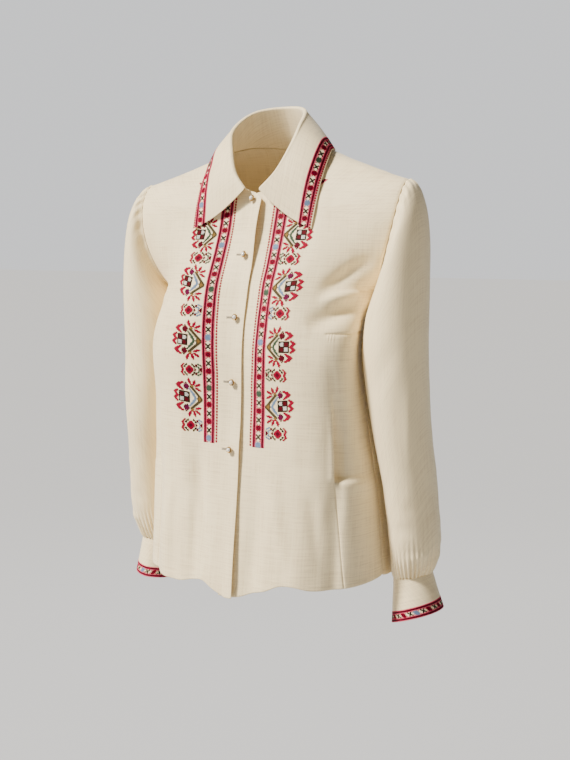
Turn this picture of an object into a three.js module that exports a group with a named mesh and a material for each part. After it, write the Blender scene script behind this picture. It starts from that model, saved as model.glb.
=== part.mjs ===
// Embroidered folk blouse in its worn shape, hollow and open at neck, hem and cuffs.
// Millimetres, +Z up. The front faces -Y and the wearer's left is +X. The origin lies
// midway between the two points where the shoulder seams meet the neckline.
import * as THREE from 'three';

// ---- driving dimensions ----
const clothThickness = 1.2;
const seamGap = 0.8; // between the middles of two edges sewn together, where the cloth turns a little
const armholeGap = 1; // the same at an armhole, where it turns more
const seamShare = 0.1; // the last share of a panel's width where it eases away to its side seam
const seamPlace = 0.8; // and how far below the shoulder seam it does so
const seatGap = 0.35; // between a button and the cloth under it
const standGap = 0.9; // between the foot of the collar and the neckline
const frontLap = 12; // how far each front runs past the centre line
const lapSpread = 1.2; // each front moves this far off the middle where the two lap

const lowerRows = 10; // mesh rows from the hem to the armpit
const armholeRows = 8; // mesh rows from the armpit to the shoulder
const frontColumns = 13;
const backColumns = 22;
const sleeveRows = 22;
const collarRowsRound = 28;
const collarColumns = 12;
const cuffRows = 4;
const cuffColumns = 22;
const buttonSides = 12;
const beadSteps = 5;

const creamSilk = { color: 0xefe4cf, roughness: 0.62, metalness: 0 };
const pearlAndGold = { color: 0xd8c39a, roughness: 0.3, metalness: 0.2 };

// A table is a list of rows that share named columns.
function table(columns, ...rows) {
  const names = columns.split(' ');
  return rows.map((row) => Object.fromEntries(names.map((name, i) => [name, row[i]])));
}

// The value of one column part-way between rows, on a smooth curve through all of them.
function smooth(rows, name, place) {
  const last = rows.length - 1;
  const i = Math.min(Math.max(Math.floor(place), 0), last - 1);
  const f = place - i;
  const [b, c] = [rows[i][name], rows[i + 1][name]];
  const a = i > 0 ? rows[i - 1][name] : 2 * b - c;
  const d = i + 2 <= last ? rows[i + 2][name] : 2 * c - b;
  const bend = f * (2 * a - 5 * b + 4 * c - d + f * (3 * b - a - 3 * c + d));
  return b + 0.5 * f * (c - a + bend);
}

const mix = (a, b, f) => a + (b - a) * f;
const hill = (distance, width) => Math.exp(-((distance / width) ** 2));
const step = (value, from, to) => THREE.MathUtils.smoothstep(value, from, to);

function bezier(p0, p1, p2, p3, f) {
  return new THREE.CubicBezierCurve3(p0, p1, p2, p3).getPoint(f);
}

// ---- the arm: an ellipse tilted between an outer and an inner point ----
// Row 0 is the armhole, the last row is where the sleeve is gathered into its cuff.
const armRings = table(
  'outerX outerZ innerX innerZ middleY halfDepth bow',
  [206, -42, 168, -190, -3, 40, 9],
  [210.5, -43, 172.5, -191, -3.5, 41, 9],
  [219, -52, 170.5, -197, -7, 46, 8],
  [229, -78, 167.5, -205, -11, 50, 5],
  [236, -124, 163, -216, -14, 52, 2],
  [239, -188, 158, -234, -17, 52, 0],
  [240, -270, 154.5, -280, -18, 51, 0],
  [242.5, -360, 164, -362, -12, 49, 0],
  [247, -450, 178, -450, -1, 46, 0],
  [251, -520, 184, -520, 6, 43, 0],
  [248, -552, 186, -552, 9, 38, 0],
  [243, -572, 187, -572, 11, 32, 0],
  [240, -581, 188, -581, 12, 29, 0],
);
const armholeRow = 0;
const cuffSeamRow = armRings.length - 1;

// The turn runs from 0 at the shoulder tip over the front to half a turn at the armpit.
function armRing(place, turn) {
  const at = (name) => smooth(armRings, name, place);
  const [outward, forward] = [Math.cos(turn), Math.sin(turn)];
  const x = (at('outerX') + at('innerX')) / 2 + (outward * (at('outerX') - at('innerX'))) / 2;
  const z = (at('outerZ') + at('innerZ')) / 2 + (outward * (at('outerZ') - at('innerZ'))) / 2;
  return new THREE.Vector3(x + at('bow') * forward * forward, at('middleY') - at('halfDepth') * forward, z);
}

// ---- the body: rows from the hem to the shoulder seam ----
// Six rows follow the side seam, and the six above the armpit follow the armhole.
const sideSeam = table(
  'x y z',
  [180, -12, -581],
  [175, -12, -508],
  [167, -15, -425],
  [156, -19, -342],
  [149, -20, -262],
  [168, -3, -190],
);
const armpitPlace = sideSeam.length - 1;
const armholeSteps = 6;
const shoulderPlace = armpitPlace + armholeSteps;

// edge: the inner edge of the panel. reach: how far the row runs straight from there.
// pull: where the row heads as it leaves the side seam or the armhole.
const frontRows = table(
  'edgeY edgeZ reach pullX pullY',
  [-137, -606, 105, 4, -92],
  [-128, -520, 108, 7, -92],
  [-118, -432, 110, 10, -92],
  [-110, -345, 115, 19, -92],
  [-106, -262, 120, 33, -92],
  [-91, -192, 115, -8, -62],
  [-76, -150, 105, -22, -42],
  [-62, -106, 95, -40, -30],
  [-50, -63, 80, -60, -20],
  [-44, -50, 62, -58, -14],
  [-27, -24, 50, -52, -8],
  [-4, 1, 45, -48, 0],
);
const backRows = table(
  'edgeY edgeZ reach pullX pullY',
  [96, -598, 118, 14, 74],
  [90, -513, 116, 24, 74],
  [82, -428, 110, 20, 70],
  [80, -343, 104, 13, 66],
  [88, -262, 105, 13, 66],
  [95, -192, 105, -6, 62],
  [94, -142, 100, -20, 44],
  [86, -92, 92, -40, 32],
  [74, -42, 85, -58, 24],
  [60, 2, 70, -58, 16],
  [36, 10, 52, -52, 8],
  [-4, 1, 45, -48, 0],
);
const neckPlace = shoulderPlace - 3; // the front edge turns into the neckline here
const backNeckPlace = shoulderPlace - 2;
const neckHalfWidth = 68;

const bust = { x: 82, z: -185, height: 14, width: 52, above: 62, below: 150, fadesFrom: 0.78 };
const sideDrop = 0.3; // how much of a row's slope shows as it leaves each of its ends

function sidePoint(place, facing) {
  if (place <= armpitPlace) {
    return new THREE.Vector3(...['x', 'y', 'z'].map((name) => smooth(sideSeam, name, place)));
  }
  const turn = (Math.PI * (shoulderPlace - place)) / armholeSteps;
  return armRing(armholeRow, facing * turn);
}

// Below the armhole the hanging arm presses the body in, and the cloth stays this far inside it.
const press = { clearance: 4, softness: 5, growsOver: 26 };

// How far out the inner face of the arm lies, at a depth and a height below the armhole.
function armInnerFace(y, z) {
  let [upper, lower] = [armholeRow, cuffSeamRow];
  for (let halving = 0; halving < 24; halving++) {
    const middle = (upper + lower) / 2;
    if (smooth(armRings, 'innerZ', middle) > z) upper = middle;
    else lower = middle;
  }
  const at = (name) => smooth(armRings, name, upper);
  const aside = Math.min(Math.abs(y - at('middleY')) / at('halfDepth'), 1);
  const halfWidth = (at('outerX') - at('innerX')) / 2;
  return at('innerX') + halfWidth * (1 - Math.sqrt(1 - aside * aside)) + at('bow') * aside * aside;
}

function pressedByArm(point) {
  const grown = step(armRings[armholeRow].innerZ - point.z, 0, press.growsOver);
  if (grown === 0) return;
  const limit = armInnerFace(point.y, point.z) - press.clearance * grown;
  const over = point.x - limit;
  point.x = limit + (over - Math.hypot(over, press.softness * grown)) / 2;
}

// One half of the body, x counted from the centre line towards its own side. The facing is 1
// for the front and -1 for the back. The place runs up the rows, and t runs from the inner
// edge (0) to the side (1). Past the centre line the cloth mirrors the part beside it.
function bodyPoint(facing, place, t) {
  const rows = facing > 0 ? frontRows : backRows;
  const at = (name) => smooth(rows, name, place);
  const opening = facing > 0 ? neckPlace : backNeckPlace;
  const opened = Math.max(0, (place - opening) / (shoulderPlace - opening));
  const edgeX = mix(facing > 0 ? -frontLap : 0, neckHalfWidth, Math.sin((opened * Math.PI) / 2));
  const side = sidePoint(place, facing);
  const inner = new THREE.Vector3(Math.max(edgeX, 0), at('edgeY'), at('edgeZ'));
  const drop = (side.z - inner.z) * sideDrop;
  const leave = inner.clone().add(new THREE.Vector3(at('reach'), 0, drop));
  const arrive = side.clone().add(new THREE.Vector3(at('pullX'), at('pullY'), -drop));
  const lapShare = Math.max(0, -edgeX / frontLap) / frontColumns;
  const onLap = t < lapShare;
  const lapX = onLap ? edgeX * (1 - t / lapShare) : 0;
  const across = onLap ? -lapX / (3 * at('reach')) : (t - lapShare) / (1 - lapShare);
  const point = bezier(inner, leave, arrive, side, across);
  if (facing > 0) {
    const reachUp = point.z > bust.z ? bust.above : bust.below;
    const swell = hill(point.x - bust.x, bust.width) * hill(point.z - bust.z, reachUp);
    point.y -= bust.height * swell * (1 - step(across, bust.fadesFrom, 1));
  }
  pressedByArm(point);
  if (onLap) point.x = lapX;
  return point;
}

// ---- folds: soft troughs (depth above 0) and ridges, running up a panel ----
const folds = {
  front_right: table(
    'x lean width depth top fade',
    [52, 10, 15, 7, -330, 240],
    [118, -6, 16, -5, -380, 200],
    [150, -14, 10, 6, -300, 140],
  ),
  front_left: table(
    'x lean width depth top fade',
    [44, -8, 15, 6, -400, 200],
    [98, 6, 17, -4, -360, 220],
    [140, 4, 9, 6, -255, 120],
  ),
  back: table(
    'x lean width depth top fade',
    [-96, -8, 20, 8, -240, 260],
    [-38, 4, 18, -6, -330, 220],
    [26, -4, 18, 7, -280, 260],
    [104, 8, 20, 7, -250, 260],
  ),
};

// A fold starts at 0.7 of its width, and all fade out before the side seam, where two panels meet.
const foldStart = 0.7;
const foldFade = { from: 0.8, to: 0.98 };

function foldDepth(name, x, z, across) {
  const depth = folds[name].reduce((sum, fold) => {
    const grown = step(-z, -fold.top, -fold.top + fold.fade);
    const middle = fold.x + fold.lean * grown;
    return sum + fold.depth * grown * hill(x - middle, fold.width * mix(foldStart, 1, grown));
  }, 0);
  return depth * (1 - step(across, foldFade.from, foldFade.to));
}

// ---- walls ----
// A wall of even thickness over a grid of points, closed all round its rim.
function wall(pointAt, rows, columns, thickness = clothThickness) {
  const [down, out] = [new THREE.Vector3(), new THREE.Vector3()];
  const normalAt = (s, t) => {
    const e = 1e-3;
    down.subVectors(pointAt(Math.min(s + e, 1), t), pointAt(Math.max(s - e, 0), t));
    out.subVectors(pointAt(s, Math.min(t + e, 1)), pointAt(s, Math.max(t - e, 0)));
    return new THREE.Vector3().crossVectors(out, down).normalize();
  };
  const [front, back] = [[], []];
  for (let i = 0; i <= rows; i++) {
    for (let j = 0; j <= columns; j++) {
      const [s, t] = [i / rows, j / columns];
      const normal = normalAt(s, t);
      front.push(pointAt(s, t).addScaledVector(normal, thickness / 2));
      back.push(pointAt(s, t).addScaledVector(normal, -thickness / 2));
    }
  }
  const at = (i, j) => i * (columns + 1) + j;
  const faces = [];
  const quad = (a, b, c, d) => faces.push(a, b, c, a, c, d);
  const half = front.length;
  for (let i = 0; i < rows; i++) {
    for (let j = 0; j < columns; j++) {
      const [a, b, c, d] = [at(i, j), at(i, j + 1), at(i + 1, j + 1), at(i + 1, j)];
      quad(a, b, c, d);
      quad(half + a, half + d, half + c, half + b);
    }
  }
  const rim = [];
  for (let j = 0; j < columns; j++) rim.push(at(0, j));
  for (let i = 0; i < rows; i++) rim.push(at(i, columns));
  for (let j = columns; j > 0; j--) rim.push(at(rows, j));
  for (let i = rows; i > 0; i--) rim.push(at(i, 0));
  rim.forEach((a, k) => {
    const b = rim[(k + 1) % rim.length];
    quad(a, half + a, half + b, b);
  });
  return meshGeometry([...front, ...back], faces);
}

// A tube wall: the columns close on themselves and only the two ends have a rim.
function tube(pointAt, rows, columns, thickness = clothThickness) {
  const points = [];
  for (const side of [0.5, -0.5]) {
    for (let i = 0; i <= rows; i++) {
      for (let j = 0; j < columns; j++) {
        const [s, t, e] = [i / rows, j / columns, 1e-3];
        const along = pointAt(Math.min(s + e, 1), t).sub(pointAt(Math.max(s - e, 0), t));
        const round = pointAt(s, t + e).sub(pointAt(s, t - e));
        const normal = new THREE.Vector3().crossVectors(round, along).normalize();
        points.push(pointAt(s, t).addScaledVector(normal, side * thickness));
      }
    }
  }
  const at = (i, j) => i * columns + (j % columns);
  const half = (rows + 1) * columns;
  const faces = [];
  const quad = (a, b, c, d) => faces.push(a, b, c, a, c, d);
  for (let j = 0; j < columns; j++) {
    for (let i = 0; i < rows; i++) {
      const [a, b, c, d] = [at(i, j), at(i, j + 1), at(i + 1, j + 1), at(i + 1, j)];
      quad(a, b, c, d);
      quad(half + a, half + d, half + c, half + b);
    }
    quad(at(0, j + 1), at(0, j), half + at(0, j), half + at(0, j + 1));
    quad(at(rows, j), at(rows, j + 1), half + at(rows, j + 1), half + at(rows, j));
  }
  return meshGeometry(points, faces);
}

function meshGeometry(points, faces) {
  const geometry = new THREE.BufferGeometry();
  geometry.setAttribute('position', new THREE.Float32BufferAttribute(points.flatMap((p) => p.toArray()), 3));
  geometry.setIndex(signedVolume(points, faces) > 0 ? faces : faces.toReversed());
  return geometry;
}

function signedVolume(points, faces) {
  let sum = 0;
  for (let k = 0; k < faces.length; k += 3) {
    const [a, b, c] = [points[faces[k]], points[faces[k + 1]], points[faces[k + 2]]];
    sum += a.dot(new THREE.Vector3().crossVectors(b, c));
  }
  return sum;
}

const mirrored = (point, side) => new THREE.Vector3(side * point.x, point.y, point.z);

// ---- panels ----
// Mesh rows are spread evenly below the armpit and evenly above it.
function placeOnBody(s) {
  const turnOver = lowerRows / (lowerRows + armholeRows);
  if (s <= turnOver) return (armpitPlace * s) / turnOver;
  return mix(armpitPlace, shoulderPlace, (s - turnOver) / (1 - turnOver));
}

// How far the buttoned edge stands off: most at the top and where it swings out at the hem.
const edgeSwings = table('z height depth', [-88, 32, 5], [-402, 24, 1.6], [-575, 70, 2.6]);
const edgeRest = 1.4;

function edgeStand(z) {
  return edgeRest + edgeSwings.reduce((sum, swing) => sum + swing.depth * hill(z - swing.z, swing.height), 0);
}

// How much higher than a level cut the hem hangs at each step outwards from the centre line.
const hemStep = 20;
const hemRise = table(
  'right left',
  [0, 0],
  [6, 1],
  [14, 7],
  [9, 11],
  [3, 18],
  [1, 17],
  [0, 10],
  [0, 7],
  [0, 5],
  [0, 3],
);

// How much a point of a panel belongs to its shoulder seam or side seam.
function seamward(place, t) {
  const up = step(place, shoulderPlace - seamPlace, shoulderPlace);
  return Math.min(up + step(t, 1 - seamShare, 1), 1);
}

// The two fronts spread apart over this stretch outwards from the centre line.
const lapEase = { from: 10, to: 45 };

// A front, x counted towards its own side. The right front (side -1) laps over the left one.
function frontCloth(side, place, t) {
  const point = bodyPoint(1, place, t);
  point.y += foldDepth(side < 0 ? 'front_right' : 'front_left', point.x, point.z, t);
  const nearCentre = 1 - step(point.x, lapEase.from, lapEase.to);
  point.y += side * lapSpread * nearCentre;
  const rise = smooth(hemRise, side < 0 ? 'right' : 'left', Math.max(point.x, 0) / hemStep);
  point.z += rise * (1 - step(place, 0, 1));
  if (side < 0) point.y -= edgeStand(point.z) * (1 - step(point.x, -frontLap, lapEase.from));
  point.y -= (seamGap / 2) * seamward(place, t);
  return point;
}

function backCloth(side, place, t) {
  const point = bodyPoint(-1, place, t);
  point.y -= foldDepth('back', side * point.x, point.z, t);
  point.y += (seamGap / 2) * seamward(place, t);
  return point;
}

function frontPoint(side, s, t) {
  return mirrored(frontCloth(side, placeOnBody(s), t), side);
}

// Half of the back, from the centre (half 0) to the side (half 1). Its top row runs along the
// neckline first and the shoulder seam after it, so its rows bend down towards the centre.
const neckColumns = 4;
const neckShare = neckColumns / (backColumns / 2);

function backHalf(side, s, half) {
  const row = placeOnBody(s);
  const raised = Math.max(0, (row - armpitPlace) / armholeSteps);
  const neckFall = (shoulderPlace - backNeckPlace) * Math.max(0, 1 - half / neckShare);
  const pastNeck = Math.max(0, (half - neckShare) / (1 - neckShare));
  return backCloth(side, row - neckFall * raised, mix(half, pastNeck, raised ** 2));
}

function backPoint(s, t) {
  const side = t < 0.5 ? -1 : 1;
  return mirrored(backHalf(side, s, Math.abs(2 * t - 1)), side);
}

// ---- sleeves ----
// The gathered end tips up on the outside, more on the left arm.
const wristTip = { right: 2.5, left: 5.5, over: 2.5 };

function sleevePoint(name, s, t) {
  const side = name === 'right' ? -1 : 1;
  const place = mix(armholeRow, cuffSeamRow, s);
  const turn = 2 * Math.PI * t;
  const point = armRing(place, turn);
  point.x += armholeGap * (1 - step(place, armholeRow, armholeRow + 1));
  const atWrist = step(place, cuffSeamRow - wristTip.over, cuffSeamRow);
  point.z += atWrist * (seamGap / 2 + wristTip[name] * Math.cos(turn));
  return mirrored(point, side);
}

// ---- cuffs: a band that laps at the back of the wrist and flares outwards to its lower edge ----
const cuff = {
  height: 56, flare: 10.5, lapSpread: 1, lapTurn: 0.16, start: 0.7,
  buttonTurn: 0.81, buttonDown: 0.48,
};
const cuffTip = { right: 4, left: 13 }; // how far its lower edge tips up on the outside
const cuffSwing = { right: 0, left: 6 }; // how much more it flares on the outside

function cuffPoint(name, s, t) {
  const side = name === 'right' ? -1 : 1;
  const turn = 2 * Math.PI * (cuff.start + t * (1 + cuff.lapTurn));
  const top = armRings[cuffSeamRow];
  const [out, forward] = [Math.cos(turn), Math.sin(turn)];
  const flare = (cuff.flare + cuffSwing[name] * Math.max(out, 0)) * Math.min(1 + out, 1) * s;
  const spread = mix(-cuff.lapSpread, cuff.lapSpread, t) + flare;
  const x = (top.outerX + top.innerX) / 2 + out * ((top.outerX - top.innerX) / 2 + spread);
  const y = top.middleY - forward * (top.halfDepth + spread);
  const tip = mix(wristTip[name], cuffTip[name], s) * out;
  return mirrored(new THREE.Vector3(x, y, top.outerZ - seamGap / 2 - cuff.height * s + tip), side);
}

// ---- collar: one band of cloth, up from the neckline, over the roll and down ----
// Rows from the front end, three of them over the front neckline and two over the back.
const collarRows = table(
  'rollX rollY rollZ edgeX edgeY edgeZ',
  [12, -62, -53.5, 94.5, -76, -106],
  [32, -55, -31, 95.5, -58, -72],
  [46, -42, 0, 95.5, -35, -33],
  [53, -26, 30, 92, -5, -1],
  [41, 12, 56, 64, 53, 1],
  [0, 31, 63, 0, 75, -6],
);
const collarStart = neckPlace + 0.6; // where along the front neckline the collar begins
const footStep = 0.01; // a short way into the panel, to see which way its edge faces
const shoulderRow = 3;
const roll = { radius: 2.4, neckY: -14, belly: 4, frontBow: 7 };
const standShare = 3 / collarColumns; // of the band's columns
const rollShare = 4 / collarColumns;

// The lower edge of the stand follows the neckline's own straight stretches between mesh points,
// one seat away from the cloth it joins.
function standFoot(side, row) {
  const backShare = (row - shoulderRow) / (collarRows.length - 1 - shoulderRow);
  const neckLine = row <= shoulderRow
    ? (knot, inset) => frontCloth(side, armpitPlace + (knot * armholeSteps) / armholeRows, inset)
    : (knot, inset) => backHalf(side, 1 - inset, (2 * knot) / backColumns);
  const knots = row <= shoulderRow
    ? (mix(collarStart, shoulderPlace, row / shoulderRow) - armpitPlace) * (armholeRows / armholeSteps)
    : neckColumns * (1 - backShare);
  const footAt = (knot) => {
    const edge = neckLine(knot, 0);
    const past = edge.clone().sub(neckLine(knot, footStep)).normalize();
    return edge.addScaledVector(past, clothThickness / 2 + standGap);
  };
  const foot = footAt(Math.floor(knots)).lerp(footAt(Math.ceil(knots)), knots % 1);
  foot.z += standGap / 2;
  return foot;
}

function collarPoint(s, t) {
  const side = s < 0.5 ? -1 : 1;
  const row = (collarRows.length - 1) * (1 - Math.abs(2 * s - 1));
  const place = (name) => smooth(collarRows, name, row);
  const at = (part) => new THREE.Vector3(place(`${part}X`), place(`${part}Y`), place(`${part}Z`));
  const [top, edge] = [at('roll'), at('edge')];
  const outward = new THREE.Vector3(top.x, top.y - roll.neckY, 0).normalize();
  let point;
  if (t < standShare) {
    const inside = top.clone().addScaledVector(outward, -roll.radius);
    point = standFoot(side, row).lerp(inside, t / standShare);
  } else if (t < standShare + rollShare) {
    const turn = (Math.PI * (t - standShare)) / rollShare;
    point = top.clone().addScaledVector(outward, -roll.radius * Math.cos(turn));
    point.z += roll.radius * Math.sin(turn);
  } else {
    const down = (t - standShare - rollShare) / (1 - standShare - rollShare);
    const outside = top.clone().addScaledVector(outward, roll.radius);
    const bowed = Math.sin(Math.PI * down);
    point = outside.lerp(edge, down).addScaledVector(outward, roll.belly * bowed);
    point.z -= roll.frontBow * bowed * Math.max(0, 1 - row);
  }
  return mirrored(point, side);
}

// ---- buttons: a pearl bead in a gold cup on a short shank ----
const frontButtons = { x: -1, heights: [-66, -142, -226, -313, -405] };
const button = {
  bead: 4.6, cup: 4.9, waist: 3.5, shank: 1.5,
  shankHeight: 1.8, waistHeight: 2.4, beadHeight: 5,
};

function buttonGeometry() {
  const profile = [
    new THREE.Vector2(0, 0),
    new THREE.Vector2(button.shank, 0),
    new THREE.Vector2(button.shank, button.shankHeight),
    new THREE.Vector2(button.waist, button.waistHeight),
    new THREE.Vector2(button.cup, button.beadHeight),
  ];
  for (let i = 0; i < beadSteps; i++) {
    const turn = (Math.PI / 2) * (i / beadSteps);
    const height = button.beadHeight + button.bead * Math.sin(turn);
    profile.push(new THREE.Vector2(button.bead * Math.cos(turn), height));
  }
  profile.push(new THREE.Vector2(0, button.beadHeight + button.bead));
  return new THREE.LatheGeometry(profile, buttonSides);
}

// ---- the blouse ----
const blouse = new THREE.Group();

function add(name, geometry, finish) {
  const mesh = new THREE.Mesh(geometry, new THREE.MeshStandardMaterial(finish));
  mesh.name = name;
  blouse.add(mesh);
  return mesh;
}

// A button square to the cloth that the line from a point towards the body meets first.
function addButton(name, cloth, from, towards) {
  const [hit] = new THREE.Raycaster(from, towards.normalize()).intersectObject(cloth);
  const mesh = add(name, buttonGeometry(), pearlAndGold);
  mesh.position.copy(hit.point).addScaledVector(hit.face.normal, seatGap);
  mesh.quaternion.setFromUnitVectors(new THREE.Vector3(0, 1, 0), hit.face.normal);
}

const panelRows = lowerRows + armholeRows;
const rightWall = wall((s, t) => frontPoint(-1, s, t), panelRows, frontColumns);
const rightFront = add('front_right', rightWall, creamSilk);
add('front_left', wall((s, t) => frontPoint(1, s, t), panelRows, frontColumns), creamSilk);
add('back', wall(backPoint, panelRows, backColumns), creamSilk);
add('collar', wall(collarPoint, collarRowsRound, collarColumns), creamSilk);

const inFront = -400; // well in front of the cloth
frontButtons.heights.forEach((height, i) => {
  const from = new THREE.Vector3(frontButtons.x, inFront, height);
  addButton(`button_${i + 1}`, rightFront, from, new THREE.Vector3(0, 1, 0));
});

const offCuff = 20; // well outside the cuff
const wrist = armRings[cuffSeamRow];

for (const name of ['right', 'left']) {
  add(`sleeve_${name}`, tube((s, t) => sleevePoint(name, s, t), sleeveRows, 2 * armholeRows), creamSilk);
  const band = add(`cuff_${name}`, wall((s, t) => cuffPoint(name, s, t), cuffRows, cuffColumns), creamSilk);
  const seat = cuffPoint(name, cuff.buttonDown, (cuff.buttonTurn + 1 - cuff.start) / (1 + cuff.lapTurn));
  const middle = new THREE.Vector3((wrist.outerX + wrist.innerX) / 2, wrist.middleY, seat.z);
  const outward = seat.clone().sub(mirrored(middle, name === 'right' ? -1 : 1)).normalize();
  addButton(`cuff_button_${name}`, band, seat.addScaledVector(outward, offCuff), outward.clone().negate());
}

export default blouse;
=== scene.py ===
import math

import bmesh
import bpy
import numpy as np
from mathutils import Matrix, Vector
from mathutils.bvhtree import BVHTree


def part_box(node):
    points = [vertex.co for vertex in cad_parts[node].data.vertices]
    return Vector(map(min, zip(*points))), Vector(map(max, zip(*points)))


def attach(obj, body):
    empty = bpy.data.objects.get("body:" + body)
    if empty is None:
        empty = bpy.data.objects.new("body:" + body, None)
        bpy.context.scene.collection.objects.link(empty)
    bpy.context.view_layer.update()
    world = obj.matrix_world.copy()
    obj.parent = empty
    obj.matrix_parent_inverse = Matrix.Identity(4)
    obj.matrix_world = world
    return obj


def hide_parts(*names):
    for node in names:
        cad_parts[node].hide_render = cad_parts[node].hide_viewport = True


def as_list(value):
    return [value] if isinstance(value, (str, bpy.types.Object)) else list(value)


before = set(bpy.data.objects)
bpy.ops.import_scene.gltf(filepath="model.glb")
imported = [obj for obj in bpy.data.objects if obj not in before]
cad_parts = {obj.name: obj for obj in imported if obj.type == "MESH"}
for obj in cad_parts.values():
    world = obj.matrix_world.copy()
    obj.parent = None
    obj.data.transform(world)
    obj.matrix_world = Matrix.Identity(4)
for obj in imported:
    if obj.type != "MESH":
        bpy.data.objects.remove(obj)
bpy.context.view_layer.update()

print("blouse: frame loaded")

# An embroidered folk blouse. Lengths are millimetres until a mesh is made, which is in metres.
# The front faces -Y and the wearer's left is +X.
mm = 0.001
leftSide, rightSide = 1, -1


# Small helpers for rows of sizes, curves and grids of points
def table(columns, *rows):  # an array for each named column
    return dict(zip(columns.split(), np.array(rows, float).T))


def smooth(rows, name, place):  # a column's value part-way between rows, on a smooth curve through all
    column = rows[name]
    last = len(column) - 1
    place = np.asarray(place, float)
    i = np.clip(np.floor(place), 0, last - 1).astype(int)
    f = place - i
    b, c = column[i], column[i + 1]
    a = np.where(i > 0, column[np.maximum(i - 1, 0)], 2 * b - c)
    d = np.where(i + 2 <= last, column[np.minimum(i + 2, last)], 2 * c - b)
    bend = f * (2 * a - 5 * b + 4 * c - d + f * (3 * b - a - 3 * c + d))
    return b + 0.5 * f * (c - a + bend)


def mix(a, b, f):
    return a + (b - a) * f


def hill(distance, width):
    return np.exp(-((distance / width) ** 2))


def step(value, start, end):
    f = np.clip((value - start) / (end - start), 0, 1)
    return f * f * (3 - 2 * f)


def triple(x, y, z):
    return np.stack(np.broadcast_arrays(x, y, z), axis=-1).astype(float)


def unit(vectors):
    return vectors / np.maximum(np.linalg.norm(vectors, axis=-1, keepdims=True), 1e-12)


def bezier(p0, p1, p2, p3, f):
    f = f[..., None]
    g = 1 - f
    return g**3 * p0 + 3 * g * g * f * p1 + 3 * g * f * f * p2 + f**3 * p3


def softNoise(points, size, seed):  # smooth noise from -1 to 1 that repeats only after many sizes
    cells = 24
    lattice = np.random.default_rng(seed).uniform(-1, 1, (cells, cells, cells))
    place = points / size
    cell = np.floor(place).astype(int)
    f = step(place - cell, 0, 1)
    total = 0
    for corner in range(8):
        bit = np.array([corner >> 2 & 1, corner >> 1 & 1, corner & 1])
        share = np.prod(np.where(bit == 1, f, 1 - f), axis=-1)
        i, j, k = np.moveaxis((cell + bit) % cells, -1, 0)
        total = total + share * lattice[i, j, k]
    return total


def mirrored(points, side):
    return points * np.array([side, 1, 1])


def gridIndex(points):
    return np.arange(points.shape[0] * points.shape[1]).reshape(points.shape[:2])


def quadsOf(index):  # the four corners of every square of a grid
    corners = [index[:-1, :-1], index[:-1, 1:], index[1:, 1:], index[1:, :-1]]
    return np.stack(corners, axis=-1).reshape(-1, 4)


# The arm: rings tilted between an outer and an inner point, from the armhole to the cuff
armRings = table(
    "outerX outerZ innerX innerZ middleY halfDepth bow",
    [206, -42, 168, -190, -3, 40, 9],
    [210.5, -43, 172.5, -191, -3.5, 41, 9],
    [219, -52, 170.5, -197, -7, 46, 8],
    [229, -78, 167.5, -205, -11, 50, 5],
    [236, -124, 163, -216, -14, 52, 2],
    [239, -188, 158, -234, -17, 52, 0],
    [240, -270, 154.5, -280, -18, 51, 0],
    [242.5, -360, 164, -362, -12, 49, 0],
    [247, -450, 178, -450, -1, 46, 0],
    [251, -520, 184, -520, 6, 43, 0],
    [248, -552, 186, -552, 9, 38, 0],
    [243, -572, 187, -572, 11, 32, 0],
    [240, -581, 188, -581, 12, 29, 0],
)
cuffSeamRow = len(armRings["outerX"]) - 1


def armRing(place, turn):  # the turn runs from 0 at the shoulder tip over the front to the armpit
    outer, inner = smooth(armRings, "outerX", place), smooth(armRings, "innerX", place)
    above, below = smooth(armRings, "outerZ", place), smooth(armRings, "innerZ", place)
    outward, forward = np.cos(turn), np.sin(turn)
    x = (outer + inner) / 2 + outward * (outer - inner) / 2 + smooth(armRings, "bow", place) * forward**2
    y = smooth(armRings, "middleY", place) - smooth(armRings, "halfDepth", place) * forward
    return triple(x, y, (above + below) / 2 + outward * (above - below) / 2)


# The body: rows from the hem to the shoulder seam
sideSeam = table(
    "x y z",
    [180, -12, -581],
    [175, -12, -508],
    [167, -15, -425],
    [156, -19, -342],
    [149, -20, -262],
    [168, -3, -190],
)
frontRows = table(
    "edgeY edgeZ reach pullX pullY",
    [-137, -606, 105, 4, -92],
    [-128, -520, 108, 7, -92],
    [-118, -432, 110, 10, -92],
    [-110, -345, 115, 19, -92],
    [-106, -262, 120, 33, -92],
    [-91, -192, 115, -8, -62],
    [-76, -150, 105, -22, -42],
    [-62, -106, 95, -40, -30],
    [-50, -63, 80, -60, -20],
    [-44, -50, 62, -58, -14],
    [-27, -24, 50, -52, -8],
    [-4, 1, 45, -48, 0],
)
backRows = table(
    "edgeY edgeZ reach pullX pullY",
    [96, -598, 118, 14, 74],
    [90, -513, 116, 24, 74],
    [82, -428, 110, 20, 70],
    [80, -343, 104, 13, 66],
    [88, -262, 105, 13, 66],
    [95, -192, 105, -6, 62],
    [94, -142, 100, -20, 44],
    [86, -92, 92, -40, 32],
    [74, -42, 85, -58, 24],
    [60, 2, 70, -58, 16],
    [36, 10, 52, -52, 8],
    [-4, 1, 45, -48, 0],
)
hemSpacing = 20
hemRise = table(  # how much higher than a level cut the hem hangs, at even spaces from the centre
    "right left", [0, 0], [6, 1], [14, 7], [9, 11], [3, 18], [1, 17], [0, 10], [0, 7], [0, 5], [0, 3]
)
edgeSwings = table("z height depth", [-100, 46, 8], [-402, 24, 1.6], [-575, 70, 2.6])
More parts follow.
